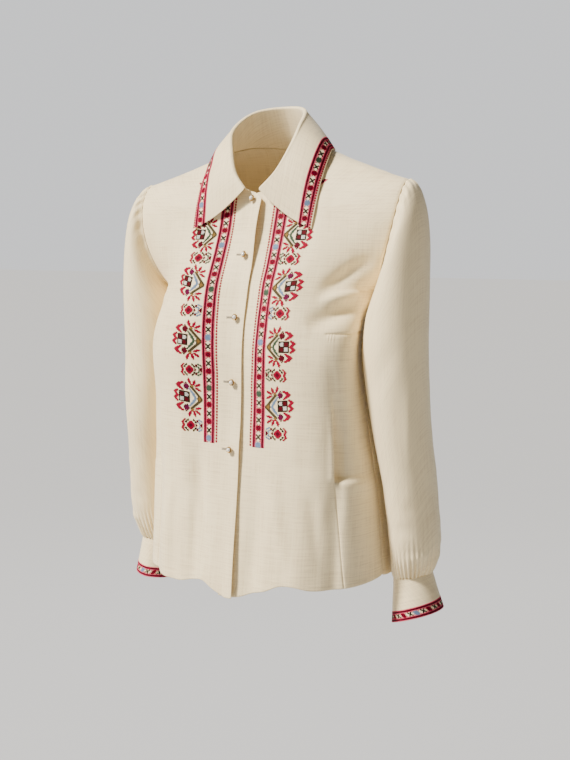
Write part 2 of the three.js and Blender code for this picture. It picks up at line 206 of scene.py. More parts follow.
folds = {  # soft troughs (depth above 0) and ridges that grow towards the hem
    "right": table(
        "x lean width depth top fade",
        [52, 10, 15, 7, -330, 240],
        [118, -6, 16, -5, -380, 200],
        [150, -14, 10, 6, -300, 140],
    ),
    "left": table(
        "x lean width depth top fade",
        [44, -8, 15, 6, -400, 200],
        [98, 6, 17, -4, -360, 220],
        [140, 4, 9, 6, -255, 120],
    ),
    "back": table(
        "x lean width depth top fade",
        [-96, -8, 20, 8, -240, 260],
        [-38, 4, 18, -6, -330, 220],
        [26, -4, 18, 7, -280, 260],
        [104, 8, 20, 7, -250, 260],
    ),
}
body = {
    "armpit": 5, "shoulder": 11, "frontNeck": 8, "backNeck": 9,  # rows where the outline turns
    "neckHalfWidth": 68, "seamGap": 0.4, "drop": 0.3,
    "lap": 12, "lapPart": 13, "lapSpread": 1.2, "lapStand": 1.4,  # the lap takes one part in 13 of a front
    "bustX": 82, "bustZ": -185, "bustHeight": 14, "bustWidth": 52, "bustAbove": 62, "bustBelow": 150,
    "armClearance": 4, "armSoftness": 5, "armGrowsOver": 26,
}


def sidePoint(place, facing):
    below = triple(*(smooth(sideSeam, name, np.minimum(place, body["armpit"])) for name in "xyz"))
    turn = np.pi * (body["shoulder"] - place) / (body["shoulder"] - body["armpit"])
    return np.where((place <= body["armpit"])[..., None], below, armRing(0.0, facing * turn))


def pressedByArm(point):  # below the armhole the hanging arm presses the body in
    x, y, z = np.moveaxis(point, -1, 0)
    grown = step(armRings["innerZ"][0] - z, 0, body["armGrowsOver"])
    upper, lower = np.zeros_like(z), np.full_like(z, cuffSeamRow)
    for _ in range(18):  # the ring at this height, closed in on by halves
        middle = (upper + lower) / 2
        above = smooth(armRings, "innerZ", middle) > z
        upper, lower = np.where(above, middle, upper), np.where(above, lower, middle)
    outer, inner = smooth(armRings, "outerX", upper), smooth(armRings, "innerX", upper)
    aside = np.abs(y - smooth(armRings, "middleY", upper)) / smooth(armRings, "halfDepth", upper)
    aside = np.minimum(aside, 1)
    face = inner + (outer - inner) / 2 * (1 - np.sqrt(1 - aside**2))
    face = face + smooth(armRings, "bow", upper) * aside**2
    limit = face - body["armClearance"] * grown
    pressed = limit + ((x - limit) - np.hypot(x - limit, body["armSoftness"] * grown)) / 2
    return triple(np.where(grown > 0, pressed, x), y, z)


def bodyPoint(facing, place, t):  # half of a front or back; t runs from its inner edge to its side
    rows = frontRows if facing > 0 else backRows
    opening = body["frontNeck"] if facing > 0 else body["backNeck"]
    opened = np.maximum(0, (place - opening) / (body["shoulder"] - opening))
    edgeX = mix(-body["lap"] if facing > 0 else 0, body["neckHalfWidth"], np.sin(opened * np.pi / 2))
    side = sidePoint(place, facing)
    inner = triple(np.maximum(edgeX, 0), smooth(rows, "edgeY", place), smooth(rows, "edgeZ", place))
    reach, drop = smooth(rows, "reach", place), (side[..., 2] - inner[..., 2]) * body["drop"]
    leave = inner + triple(reach, 0, drop)
    arrive = side + triple(smooth(rows, "pullX", place), smooth(rows, "pullY", place), -drop)
    lapShare = np.maximum(0, -edgeX / body["lap"]) / body["lapPart"]
    onLap = t < lapShare
    lapX = np.where(onLap, edgeX * (1 - t / np.maximum(lapShare, 1e-9)), 0)
    across = np.where(onLap, -lapX / (3 * reach), (t - lapShare) / (1 - lapShare))
    point = bezier(inner, leave, arrive, side, across)
    if facing > 0:
        reachUp = np.where(point[..., 2] > body["bustZ"], body["bustAbove"], body["bustBelow"])
        swell = hill(point[..., 0] - body["bustX"], body["bustWidth"])
        swell = swell * hill(point[..., 2] - body["bustZ"], reachUp)
        point[..., 1] -= body["bustHeight"] * swell * (1 - step(across, 0.78, 1))
    point = pressedByArm(point)
    point[..., 0] = np.where(onLap, lapX, point[..., 0])
    return point


def foldDepth(name, x, z, t):
    total = 0
    for x0, lean, width, depth, top, fade in zip(*folds[name].values()):
        grown = step(-z, -top, -top + fade)
        total = total + depth * grown * hill(x - x0 - lean * grown, width * mix(0.7, 1, grown))
    return total * (1 - step(t, 0.8, 0.98))


def seamward(place, t):
    return np.minimum(step(place, body["shoulder"] - 0.8, body["shoulder"]) + step(t, 0.9, 1), 1)


def frontCloth(side, place, t):  # x counted towards its own side; the right front laps over the left
    point = bodyPoint(1, place, t)
    name = "right" if side < 0 else "left"
    x, z = point[..., 0], point[..., 2]
    y = point[..., 1] + foldDepth(name, x, z, t) + side * body["lapSpread"] * (1 - step(x, 10, 45))
    z = z + smooth(hemRise, name, np.maximum(x, 0) / hemSpacing) * (1 - step(place, 0, 1))
    if side < 0:
        stand = body["lapStand"]
        for middle, height, depth in zip(*edgeSwings.values()):
            stand = stand + depth * hill(z - middle, height)
        y = y - stand * (1 - step(x, -body["lap"], 10))
    return triple(x, y - body["seamGap"] * seamward(place, t), z)


def backCloth(side, place, t):
    point = bodyPoint(-1, place, t)
    point[..., 1] -= foldDepth("back", side * point[..., 0], point[..., 2], t)
    point[..., 1] += body["seamGap"] * seamward(place, t)
    return point


def placeOnBody(s):  # rows are spread evenly below the armpit and evenly above it
    turnOver = 10 / 18
    return np.where(
        s <= turnOver,
        body["armpit"] * s / turnOver,
        mix(body["armpit"], body["shoulder"], (s - turnOver) / (1 - turnOver)),
    )


def backHalf(side, s, half):  # its top row runs along the neckline first and the shoulder seam after it
    row, neckShare = placeOnBody(s), 4 / 11
    raised = np.maximum(0, (row - body["armpit"]) / (body["shoulder"] - body["armpit"]))
    neckFall = (body["shoulder"] - body["backNeck"]) * np.maximum(0, 1 - half / neckShare)
    pastNeck = np.maximum(0, (half - neckShare) / (1 - neckShare))
    return backCloth(side, row - neckFall * raised, mix(half, pastNeck, raised**2))


# Sleeves, cuffs and collar
wristTip = {"right": 2.5, "left": 5.5, "over": 2.5}  # how far a sleeve's end slants, and over how many rows
sideOf = {"right": rightSide, "left": leftSide}
cuff = {
    "height": 56, "flare": 10.5, "lapSpread": 1, "lapTurn": 0.16, "start": 0.7,
    "tip": {"right": 4, "left": 13}, "swing": {"right": 0, "left": 6},
}
collarRows = table(
    "rollX rollY rollZ edgeX edgeY edgeZ",
    [12, -62, -53.5, 94.5, -76, -106],
    [32, -55, -31, 95.5, -58, -72],
    [46, -42, 0, 95.5, -35, -33],
    [53, -26, 30, 92, -5, -1],
    [41, 12, 56, 64, 53, 1],
    [0, 31, 63, 0, 75, -6],
    [-41, 12, 56, -64, 53, 1],  # past the centre back, so that the curve runs straight through it
)
collarRoll = {
    "start": 8.6, "shoulderRow": 3, "backRow": 5, "radius": 2.4, "neckY": -14, "belly": 4, "frontBow": 7,
    "standShare": 3 / 12, "rollShare": 4 / 12, "footGap": 1.5, "footLift": 0.45,
    "lieTip": 12, "lieMiddle": 6, "lieRows": 1.7, "lieAside": 0.16,  # how the front ends lie on the chest
}


def sleeveForm(name, s, t):  # s from the armhole to the cuff, t round the arm
    place, turn = mix(0, cuffSeamRow, s), 2 * np.pi * t
    point = armRing(place, turn)
    point[..., 0] += 1 - step(place, 0, 1)  # the head of the sleeve stands 1 mm outside the armhole
    atWrist = step(place, cuffSeamRow - wristTip["over"], cuffSeamRow)
    point[..., 2] += atWrist * (body["seamGap"] + wristTip[name] * np.cos(turn))
    return mirrored(point, sideOf[name])


def cuffForm(name, s, t):
    turn = 2 * np.pi * (cuff["start"] + t * (1 + cuff["lapTurn"]))
    top = {key: column[-1] for key, column in armRings.items()}
    out, forward = np.cos(turn), np.sin(turn)
    flare = (cuff["flare"] + cuff["swing"][name] * np.maximum(out, 0)) * np.minimum(1 + out, 1) * s
    spread = mix(-cuff["lapSpread"], cuff["lapSpread"], t) + flare
    x = (top["outerX"] + top["innerX"]) / 2 + out * ((top["outerX"] - top["innerX"]) / 2 + spread)
    y = top["middleY"] - forward * (top["halfDepth"] + spread)
    z = top["outerZ"] - body["seamGap"] - cuff["height"] * s + mix(wristTip[name], cuff["tip"][name], s) * out
    return mirrored(triple(x, y, z), sideOf[name])


def collarFoot(side, row):  # the lower edge of the stand runs just past the neckline
    inset = np.array([[0.0, 0.01]])
    shoulderRow, backRow = collarRoll["shoulderRow"], collarRoll["backRow"]
    if row <= shoulderRow:
        place = mix(collarRoll["start"], body["shoulder"], row / shoulderRow)
        edge, within = frontCloth(side, np.array([[place]]), inset)[0]
    else:
        share = (row - shoulderRow) / (backRow - shoulderRow)
        place = body["shoulder"] - (body["shoulder"] - body["backNeck"]) * share
        edge, within = backCloth(side, np.array([[place]]), inset)[0]
    foot = edge + unit(edge - within) * collarRoll["footGap"]
    return foot + np.array([0, 0, collarRoll["footLift"]])


def collarSpot(part, row):  # where the roll or the outer edge runs at this row
    return np.array([float(smooth(collarRows, part + axis, row)) for axis in "XYZ"])


def collarForm(s, t):  # s from one front end to the other, t from the stand's foot over the roll to the edge
    grid = np.zeros((len(s), len(t), 3))
    for i, share in enumerate(s):
        side = rightSide if share < 0.5 else leftSide
        row = collarRoll["backRow"] * (1 - abs(2 * share - 1))
        top, edge = collarSpot("roll", row), collarSpot("edge", row)
        outward = unit(np.array([top[0], top[1] - collarRoll["neckY"], 0]))
        foot, radius = collarFoot(side, row), collarRoll["radius"]
        stand, rolled = collarRoll["standShare"], collarRoll["rollShare"]
        up = np.clip(t / stand, 0, 1)[:, None]
        turn = np.pi * np.clip((t - stand) / rolled, 0, 1)[:, None]
        down = np.clip((t - stand - rolled) / (1 - stand - rolled), 0, 1)[:, None]
        bowed = np.sin(np.pi * down)
        rise = mix(foot, top - outward * radius, up)
        over = top - outward * radius * np.cos(turn) + np.array([0, 0, radius]) * np.sin(turn)
        fall = mix(top + outward * radius, edge, down) + outward * collarRoll["belly"] * bowed
        fall = fall - np.array([0, 0, collarRoll["frontBow"]]) * bowed * max(0, 1 - row)
        near = max(0, 1 - row / collarRoll["lieRows"]) ** 1.3
        lie = near * (collarRoll["lieTip"] * down**1.2 + collarRoll["lieMiddle"] * bowed)
        fall = fall + lie * np.array([-side * collarRoll["lieAside"], 1, 0])
        at = t[:, None]
        section = np.where(at < stand, rise, np.where(at < stand + rolled, over, fall))
        grid[i] = mirrored(section, side)
    return grid


# From a grid of points to a sheet of cloth
def places(count, edge=0.014, near=3, extra=()):  # even steps, closer together at both ends
    close = edge * (np.arange(1, near + 1) / near) ** 1.4
    even = np.linspace(edge * 1.5, 1 - edge * 1.5, count)
    return np.unique(np.concatenate([even, [0, 1], close, 1 - close, extra]))


def faceNormals(points, closed=False):
    if closed:
        across = np.roll(points, -1, axis=1) - np.roll(points, 1, axis=1)
    else:
        across = np.gradient(points, axis=1)
    return unit(np.cross(across, np.gradient(points, axis=0)))


def creased(points, normals, creases):  # outward shift of a surface by troughs that run between two points
    shift = np.zeros(points.shape[:2])
    rows = np.array(list(creases.values())).T
    for *ends, width, trough, lip in rows:
        start, end = np.array(ends[:3]), np.array(ends[3:])
        run = end - start
        along = np.clip(((points - start) @ run) / (run @ run), 0, 1)
        off = points - start - along[..., None] * run
        off = off - normals * np.sum(off * normals, axis=-1, keepdims=True)
        away = np.linalg.norm(off, axis=-1)
        beside = np.sign(np.sum(np.cross(run, off) * normals, axis=-1)) * away
        shift += hill(away, width) * 4 * along * (1 - along) * (lip * beside / width - trough)
    return shift


def makeMesh(name, points, faces, uv=None):
    mesh = bpy.data.meshes.new(name)
    mesh.from_pydata((np.asarray(points) * mm).tolist(), [], faces)
    mesh.update()
    if uv is not None:
        layer = mesh.uv_layers.new(name="cloth")
        corner = np.zeros(len(mesh.loops), np.int32)
        mesh.loops.foreach_get("vertex_index", corner)
        layer.data.foreach_set("uv", uv[corner].astype(np.float32).ravel())
    piece = bpy.data.objects.new(name, mesh)
    bpy.context.scene.collection.objects.link(piece)
    outwardFaces(piece)
    return piece


def outwardFaces(piece):
    solid = bmesh.new()
    solid.from_mesh(piece.data)
    bmesh.ops.recalc_face_normals(solid, faces=solid.faces)
    if solid.calc_volume(signed=True) < 0:
        bmesh.ops.reverse_faces(solid, faces=solid.faces)
    solid.to_mesh(piece.data)
    solid.free()
    piece.data.polygons.foreach_set("use_smooth", [True] * len(piece.data.polygons))


def clothSheet(name, points, normals, flat, thickness, closed=False):
    # two faces a thickness apart, joined by a rounded rim wherever the cloth is cut
    half = (np.broadcast_to(thickness, points.shape[:2]) / 2)[..., None]
    index = gridIndex(points)
    quads = quadsOf(np.concatenate([index, index[:, :1]], axis=1) if closed else index)
    total, rimReach = index.size, 0.9
    middles, wide = points.reshape(-1, 3), np.broadcast_to(half, points.shape).reshape(-1, 3)
    vertices = [(points + normals * half).reshape(-1, 3), (points - normals * half).reshape(-1, 3)]
    uvs, faces = [flat.reshape(-1, 2)] * 2, [quads, quads[:, ::-1] + total]
    if closed:
        rims = [(index[0], index[1]), (index[-1], index[-2])]
    else:
        rims = [(
            np.concatenate([index[0, :-1], index[:-1, -1], index[-1, :0:-1], index[:0:-1, 0]]),
            np.concatenate([index[1, :-1], index[:-1, -2], index[-2, :0:-1], index[:0:-1, 1]]),
        )]
    for ring, within in rims:
        edge = sum(len(v) for v in vertices) + np.arange(len(ring))
        vertices.append(middles[ring] + unit(middles[ring] - middles[within]) * wide[ring] * rimReach)
        uvs.append(flat.reshape(-1, 2)[ring])
        nextRing, nextEdge = np.roll(ring, -1), np.roll(edge, -1)
        faces.append(np.stack([ring, edge, nextEdge, nextRing], axis=-1))
        faces.append(np.stack([edge, ring + total, nextRing + total, nextEdge], axis=-1))
    return makeMesh(name, np.concatenate(vertices), np.concatenate(faces).tolist(), np.concatenate(uvs) * mm)


surfaces = {}  # the outer face of each panel and its place on the flat cloth, for stitching and buttons


def makePanel(name, form, flat, thickness, outward, shift, closed=False):
    sign = 1 if np.sum(faceNormals(form, closed) * outward) > 0 else -1
    normals = faceNormals(form, closed) * sign
    form = form + normals * shift(form, normals)[..., None]
    normals = faceNormals(form, closed) * sign
    outer = form + normals * np.broadcast_to(thickness, form.shape[:2])[..., None] / 2
    surfaces[name] = {"points": outer, "normals": normals, "flat": flat}
    print("blouse: cloth", name, form.shape[:2])
    return clothSheet("cloth_" + name, form, normals, flat, thickness, closed)


# Shader sums and materials
class Value:  # a node's output that takes part in sums
    def __init__(self, shader, socket):
        self.shader, self.socket = shader, socket

    def maths(self, operation, *others):
        return self.shader.node("ShaderNodeMath", {"operation": operation}, self, *others)

    def __add__(self, other):
        return self.maths("ADD", other)

    def __sub__(self, other):
        return self.maths("SUBTRACT", other)

    def __rsub__(self, other):
        return self.shader.node("ShaderNodeMath", {"operation": "SUBTRACT"}, other, self)

    def __mul__(self, other):
        return self.maths("MULTIPLY", other)

    __radd__, __rmul__ = __add__, __mul__

    def clamped(self):
        return self.shader.node("ShaderNodeClamp", {}, self)


class Shader:
    def __init__(self, name, **constants):
        self.material = bpy.data.materials.new(name)
        self.material.use_nodes = True
        self.tree = self.material.node_tree
        self.surface = self.tree.nodes["Principled BSDF"]
        for socket, value in constants.items():
            self.surface.inputs[socket.replace("_", " ")].default_value = value

    def node(self, kind, settings=None, *values, output=0, **named):
        made = self.tree.nodes.new(kind)
        for setting, value in (settings or {}).items():
            if setting == "stops":
                ramp = made.color_ramp.elements
                while len(ramp) < len(value):
                    ramp.new(0.5)
                for element, (place, colour) in zip(ramp, value):
                    element.position, element.color = place, colour
            else:
                setattr(made, setting, value)
        for key, value in list(enumerate(values)) + [(k.replace("_", " "), v) for k, v in named.items()]:
            self.plug(made.inputs[key], value)
        return Value(self, made.outputs[output])

    def plug(self, socket, value):
        if isinstance(value, Value):
            self.tree.links.new(value.socket, socket)
        elif value is not None:
            socket.default_value = value

    def noise(self, place, scale, detail=2.0, roughness=0.5):
        sizes = {"Scale": scale, "Detail": detail, "Roughness": roughness}
        return self.node("ShaderNodeTexNoise", {}, Vector=place, **sizes)

    def stretched(self, place, x, y):  # x and y are the size of one mark
        return self.node("ShaderNodeMapping", {}, Vector=place, Scale=(1 / x, 1 / y, 1.0))

    def colour(self, factor, a, b):
        others = [None] * 5  # a Mix node's sockets for numbers and vectors
        return self.node("ShaderNodeMix", {"data_type": "RGBA"}, factor, *others, a, b, output=2)

    def finish(self, colour=None, roughness=None, height=None, bumpSize=0.0001, strength=1.0, metallic=None):
        self.plug(self.surface.inputs["Base Color"], colour)
        self.plug(self.surface.inputs["Roughness"], roughness)
        self.plug(self.surface.inputs["Metallic"], metallic)
        if height is not None:
            bump = self.node("ShaderNodeBump", {}, Strength=strength, Distance=bumpSize, Height=height)
            self.plug(self.surface.inputs["Normal"], bump)
        return self.material


silk = {  # the weave's sizes are in metres
    "colour": (0.95, 0.785, 0.475, 1), "deep": (0.66, 0.50, 0.28, 1),
    "thread": 0.00062, "thick": 0.016, "grainDepth": 0.00038,
    "weftSlub": (0.045, 0.0019), "warpSlub": (0.0024, 0.06),
}


def creamSilk():
    shader = Shader("woven_silk", Sheen_Weight=0.3, Sheen_Roughness=0.5, Specular_IOR_Level=0.25)
    cloth = shader.node("ShaderNodeUVMap", {"uv_map": "cloth"})
    place = shader.node("ShaderNodeTexCoord", {}, output=3)
    tone = shader.noise(place, 11, 3)
    weft = shader.noise(shader.stretched(cloth, silk["thick"], silk["thread"]), 1, 2, 0.6)
    warp = shader.noise(shader.stretched(cloth, silk["thread"], silk["thick"]), 1, 2, 0.6)
    across = shader.noise(shader.stretched(cloth, *silk["weftSlub"]), 1, 2)
    along = shader.noise(shader.stretched(cloth, *silk["warpSlub"]), 1, 2)
    slubs = across * 0.6 + along * 0.4
    fine = shader.noise(place, 1300, 2, 0.6)
    grain = weft * 0.5 + warp * 0.35 + fine * 0.15
    shade = (tone * 0.4 + grain * 0.7 + slubs * 1.5 - 0.97) * 1.7 + 0.35
    colour = shader.colour(shade.clamped(), silk["deep"], silk["colour"])
    height = grain + slubs * 0.9
    return shader.finish(colour, 0.47 + grain * 0.22, height, bumpSize=silk["grainDepth"], strength=0.75)


silkMaterial = creamSilk()


# The eight pieces of cloth
clothDepth = {"panel": 0.7, "collar": 1.1, "cuff": 1.2}
hem = {"height": 7, "extra": 0.5, "tuck": 1.0, "tuckOver": 3.0}
wrinkles = {  # soft and fine ones: their size in x, y and z, a seed, and how high they stand
    "front": ((34, 60, 120, 11, 1.3), (13, 26, 34, 21, 0.45)),
    "back": ((38, 60, 130, 31, 1.6), (14, 26, 36, 32, 0.5)),
    "sleeve": ((30, 40, 90, 41, 1.5), (24, 26, 12, 51, 0.5)),
    "cuff": ((16, 16, 20, 61, 0.3),),
    "collar": ((26, 26, 26, 71, 0.5),),
}


def wrinkled(points, kind, side=0):
    return [softNoise(points, np.array(size), seed + side) * high for *size, seed, high in wrinkles[kind]]


def hemmed(fromHem):  # the cloth is double at the hem
    folded = 1 - step(fromHem, hem["height"] - 0.6, hem["height"] + 0.6)
    return clothDepth["panel"] + hem["extra"] * folded


def edgeTuck(distance):  # the cloth turns in just before a seam
    return -hem["tuck"] * (1 - step(distance, 0, hem["tuckOver"]))


def rowLengths(points, axes=(0, 1)):
    steps = np.linalg.norm(np.diff(points[..., list(axes)], axis=1), axis=-1)
    return np.concatenate([np.zeros((len(points), 1)), np.cumsum(steps, axis=1)], axis=1)


def columnLengths(points):
    steps = np.linalg.norm(np.diff(points, axis=0), axis=-1)
    return np.concatenate([np.zeros((1, points.shape[1])), np.cumsum(steps, axis=0)], axis=0)


frontCreases = {
    "left": table(
        "x0 y0 z0 x1 y1 z1 width trough lip",
        [142, -88, -441, 170, -32, -455, 8, -1.8, 0.5],
        [116, -88, -203, 160, -44, -191, 7, -5.0, 0.4],
        [112, -88, -194, 176, -42, -143, 11, 6.5, 0.2],
        [106, -104, -234, 164, -52, -203, 12, 8.5, 0.2],
        [58, -120, -440, 90, -124, -560, 11, -3.0, 0.6],
        [112, -100, -452, 128, -100, -575, 9, 2.0, 0.4],
        [70, -116, -420, 128, -96, -418, 14, 1.2, 0.2],
    ),
    "right": table(
        "x0 y0 z0 x1 y1 z1 width trough lip",
        [-59, -115, -400, -35, -130, -575, 10, 3.4, 0.6],
        [-92, -108, -300, -80, -116, -470, 11, -2.4, 0.5],
        [-126, -84, -205, -150, -54, -200, 8, -1.8, 0.6],
        [-104, -104, -455, -112, -104, -585, 9, -2.2, 0.3],
        [-74, -118, -470, -66, -124, -590, 7, -1.8, 0.3],
    ),
}
darts = {  # x of the waist dart at its heights, and how deep its pleat falls back above the stitched part
    "left": {"z": [-592, -437, -318], "x": [157, 141, 138], "pleat": 12, "from": -314, "to": -405},
    "right": {"z": [-592, -437, -318], "x": [139, 133, 130], "pleat": 2.4, "from": -330, "to": -430},
}
slash = {  # the gathered cut under the bust; its flat place is a little further from the centre
    "z": -243.5, "from": 133, "to": 156, "ends": 3, "depth": 1.5, "width": 1.5,
    "pucker": 0.35, "puckerTurn": 2.1, "flatAside": 14,
}
dartPlace, dartSide = 0.7, 140  # the column at this share follows the dart, which lies near this x
stitchedDart = {"depth": 0.9, "width": 1.3, "top": -438}
pleatFade, pleatLip = 30, {"height": 2.2, "aside": 2.5, "width": 4.5}


def dartColumns(side, dart, s, u):  # the share of a panel's width at each grid point
    base = np.linspace(0, 1, 240)[None, :]
    grid = frontCloth(side, placeOnBody(s)[:, None], base)
    t = np.zeros((len(s), len(u)))
    for i, row in enumerate(grid):
        middle = row[:, 2][np.argmin(np.abs(row[:, 0] - dartSide))]
        x = np.interp(middle, dart["z"], dart["x"])
        at = np.interp(x, row[:, 0], base[0])
        t[i] = np.interp(u, [0, dartPlace, 1], [0, at, 1])
    return t


def gatheredCut(x, z):  # a groove with puckers just under it
    within = step(x, slash["from"] - slash["ends"], slash["from"])
    within = within * (1 - step(x, slash["to"], slash["to"] + slash["ends"]))
    puckers = slash["pucker"] * np.sin(x * slash["puckerTurn"]) * hill(z - slash["z"] + 4, 5)
    return within * (puckers - slash["depth"] * hill(z - slash["z"], slash["width"]))


def frontPanel(name):
    side, dart = sideOf[name], darts[name]
    atSlash = np.interp(slash["z"] + np.arange(-2.5, 3), [-262, -192], [0.444, 0.556])
    s = places(168, 0.008, 3, atSlash)
    beside = np.array([0, 0.5, 1, 1.6, 2.4, 3.6, 5]) * 0.005
    u = places(84, 0.010, 3, np.concatenate([dartPlace - beside, dartPlace + beside]))
    u = u[np.concatenate([[True], np.diff(u) > 0.0012])]  # columns that would nearly touch are left out
    t = dartColumns(side, dart, s, u)
    form = mirrored(frontCloth(side, placeOnBody(s)[:, None], t), side)
    across = rowLengths(form)
    centre = np.array([np.interp(0, side * row[:, 0], far) for row, far in zip(form, across)])[:, None]
    atDart = across[:, np.argmin(np.abs(u - dartPlace))][:, None]
    guide = form[:, np.argmin(np.abs(np.abs(form[len(s) // 3, :, 0]) - 50))]
    down = np.concatenate([[0], np.cumsum(np.linalg.norm(np.diff(guide[:, 1:], axis=0), axis=-1))])
    order = np.argsort(guide[:, 2])
    flat = np.stack([across - centre, np.interp(form[..., 2], guide[order, 2], down[order])], axis=-1)
    fromHem = columnLengths(form)
    toSeam = np.minimum(across[:, -1:] - across, (fromHem[-1:] - fromHem))
    lap = 1 - step(across, 10, 30)
    aside, z = across - atDart, form[..., 2]

    def shift(points, normals):
        soft, fine = wrinkled(points, "front", side)
        below = -stitchedDart["top"]
        seam = -stitchedDart["depth"] * hill(aside, stitchedDart["width"]) * step(-z, below, below + 4)
        opened = step(-z, -dart["from"], -dart["to"]) * (1 - step(-z, below - 2, below + 4))
        pleat = -dart["pleat"] * opened * step(aside, -0.5, 3) * np.exp(-np.maximum(aside, 0) / pleatFade)
        pleat = pleat + pleatLip["height"] * opened * hill(aside + pleatLip["aside"], pleatLip["width"])
        cut = gatheredCut(points[..., 0], z) if name == "left" else 0
        calm = (1 - 0.8 * lap) * step(toSeam, 0, 12)  # the lap and the seams stay smooth
        worn = (soft + fine) * calm + seam + pleat + cut
        return worn + creased(points, normals, frontCreases[name]) + edgeTuck(toSeam)

    panel = makePanel(f"front_{name}", form, flat, hemmed(fromHem), np.array([0, -1, 0]), shift)
    heights = (guide[order, 2], down[order])
    surfaces[f"front_{name}"].update(heights=heights, dart=atDart - centre, hemTop=fromHem)
    return panel


def backPanel():
    s, t = places(150, 0.008), places(124, 0.006)
    halves = []
    for sign, half in ((rightSide, 1 - 2 * t[t < 0.5]), (leftSide, 2 * t[t >= 0.5] - 1)):
        halves.append(mirrored(backHalf(sign, s[:, None], half[None, :]), sign))
    form = np.concatenate(halves, axis=1)
    across, fromHem = rowLengths(form), columnLengths(form)
    flat = np.stack([across - across[:, len(t) // 2][:, None], fromHem], axis=-1)
    toSeam = np.minimum(np.minimum(across, across[:, -1:] - across), fromHem[-1:] - fromHem)

    def shift(points, normals):
        soft, fine = wrinkled(points, "back")
        return (soft + fine) * step(toSeam, 0, 12) + edgeTuck(toSeam)

    return makePanel("back", form, flat, hemmed(fromHem), np.array([0, 1, 0]), shift)


sleeve = {
    "gathers": 34, "gatherDepth": 2.6, "gatherReach": 34,
    "capGathers": 26, "capDepth": 1.0, "capReach": 16,
}
sleeveCreases = table(
    "x0 y0 z0 x1 y1 z1 width trough lip",
    [236, -52, -452, 208, -60, -458, 4, 1.5, 0.6],
    [246, -30, -478, 216, -44, -470, 4, 1.3, 0.6],
    [240, -40, -505, 205, -42, -512, 4.5, 1.6, 0.7],
    [250, -14, -540, 224, -36, -548, 6, -2.0, 0.8],
    [214, -62, -250, 190, -62, -330, 10, 2.0, 0.5],
    [232, -54, -300, 236, -54, -420, 10, -1.8, 0.4],
)


def sleevePanel(name):
    side = sideOf[name]
    s, t = places(96, 0.006), np.arange(200) / 200
    form = sleeveForm(name, s[:, None], t[None, :])
    fromCap = columnLengths(form)
    closedRow = np.concatenate([form, form[:, :1]], axis=1)
    flat = np.stack([rowLengths(closedRow, (0, 1, 2))[:, :-1], -fromCap], axis=-1)
    middle = form.mean(axis=1, keepdims=True)
    toSeam = np.minimum(fromCap, fromCap[-1:] - fromCap)
    creases = {key: column * (side if key in ("x0", "x1") else 1) for key, column in sleeveCreases.items()}
    if side < 0:
        creases["lip"] = -creases["lip"]
    turns = 2 * np.pi * t[None, :]
    wobble = 0.9 * np.sin(3 * turns + side) + 0.6 * np.sin(5 * turns + 2)

    def shift(points, normals):
        toWrist = fromCap[-1:] - fromCap
        gathers = np.sin(sleeve["gathers"] * turns + wobble) * hill(toWrist, sleeve["gatherReach"])
        gathers = gathers * (0.75 + 0.25 * np.sin(7 * turns))
        cap = np.sin(sleeve["capGathers"] * turns + wobble) * hill(fromCap, sleeve["capReach"])
        cap = cap * (0.5 + 0.5 * np.cos(turns))  # strongest at the tip of the shoulder
        soft, fine = wrinkled(points, "sleeve", side)
        fine = fine * step(fromCap, 150, 420)
        calm, clear = step(toSeam, 0, 25), 1 - step(-side * points[..., 0], -178, -150)
        gathered = gathers * sleeve["gatherDepth"] + cap * sleeve["capDepth"]
        worn = gathered + (soft + fine) * calm * clear  # smooth at the seams and beside the body
        return worn + creased(points, normals, creases) + edgeTuck(toSeam)

    depth = clothDepth["panel"]
    return makePanel(f"sleeve_{name}", form, flat, depth, form - middle, shift, closed=True)


def cuffPanel(name):
    s, t = places(26, 0.03), places(120, 0.006)
    form = cuffForm(name, s[:, None], t[None, :])
    flat = np.stack([rowLengths(form, (0, 1, 2)), -columnLengths(form)], axis=-1)
    flat[..., 1] -= flat[-1:, :, 1]
    middle = form.mean(axis=1, keepdims=True)

    def shift(points, normals):
        return wrinkled(points, "cuff", sideOf[name])[0]

    return makePanel(f"cuff_{name}", form, flat, clothDepth["cuff"], form - middle, shift)


def collarPanel():
    s, t = places(168, 0.006), places(52, 0.014)
    form = collarForm(s, t)
    along = rowLengths(form.transpose(1, 0, 2), (0, 1, 2)).T
    down = rowLengths(form, (0, 1, 2))
    flat = np.stack([np.broadcast_to(along[:, -1:], down.shape), down[:, -1:] - down], axis=-1)
    fallShare = step(t, collarRoll["standShare"] + collarRoll["rollShare"], 1)[None, :]

    def shift(points, normals):
        return wrinkled(points, "collar")[0] * fallShare

    outward = np.where(t[None, :, None] > 0.6, form - np.array([0, -10, 0]), 0)
    panel = makePanel("collar", form, flat, clothDepth["collar"], outward, shift)
    fallen = slice(np.searchsorted(t, 0.66), None)  # only the fall is embroidered
    surfaces["collar"].update(chart=edgeChart(form[:, -1], form), columns=fallen)
    return panel


def edgeChart(edge, points):  # place along an edge, and distance from it
    beyond = 60  # the edge is carried on straight past both its ends
    first = edge[0] + unit(edge[0] - edge[2]) * beyond
    last = edge[-1] + unit(edge[-1] - edge[-3]) * beyond
    line = np.concatenate([[first], edge, [last]])
    run = np.diff(line, axis=0)
    lengths = np.linalg.norm(run, axis=-1)
    starts = np.concatenate([[0], np.cumsum(lengths)[:-1]]) - beyond
    chart = np.zeros(points.shape[:2] + (2,))
    for i in range(len(points)):
        off = points[i][:, None] - line[:-1]
        share = np.clip(np.sum(off * run, axis=-1) / lengths**2, 0, 1)
        away = np.linalg.norm(off - share[..., None] * run, axis=-1)
        nearest = np.argmin(away, axis=-1)
        pick = np.arange(len(nearest))
        along = starts[nearest] + share[pick, nearest] * lengths[nearest]
        chart[i] = np.stack([along, away[pick, nearest]], axis=-1)
    return chart


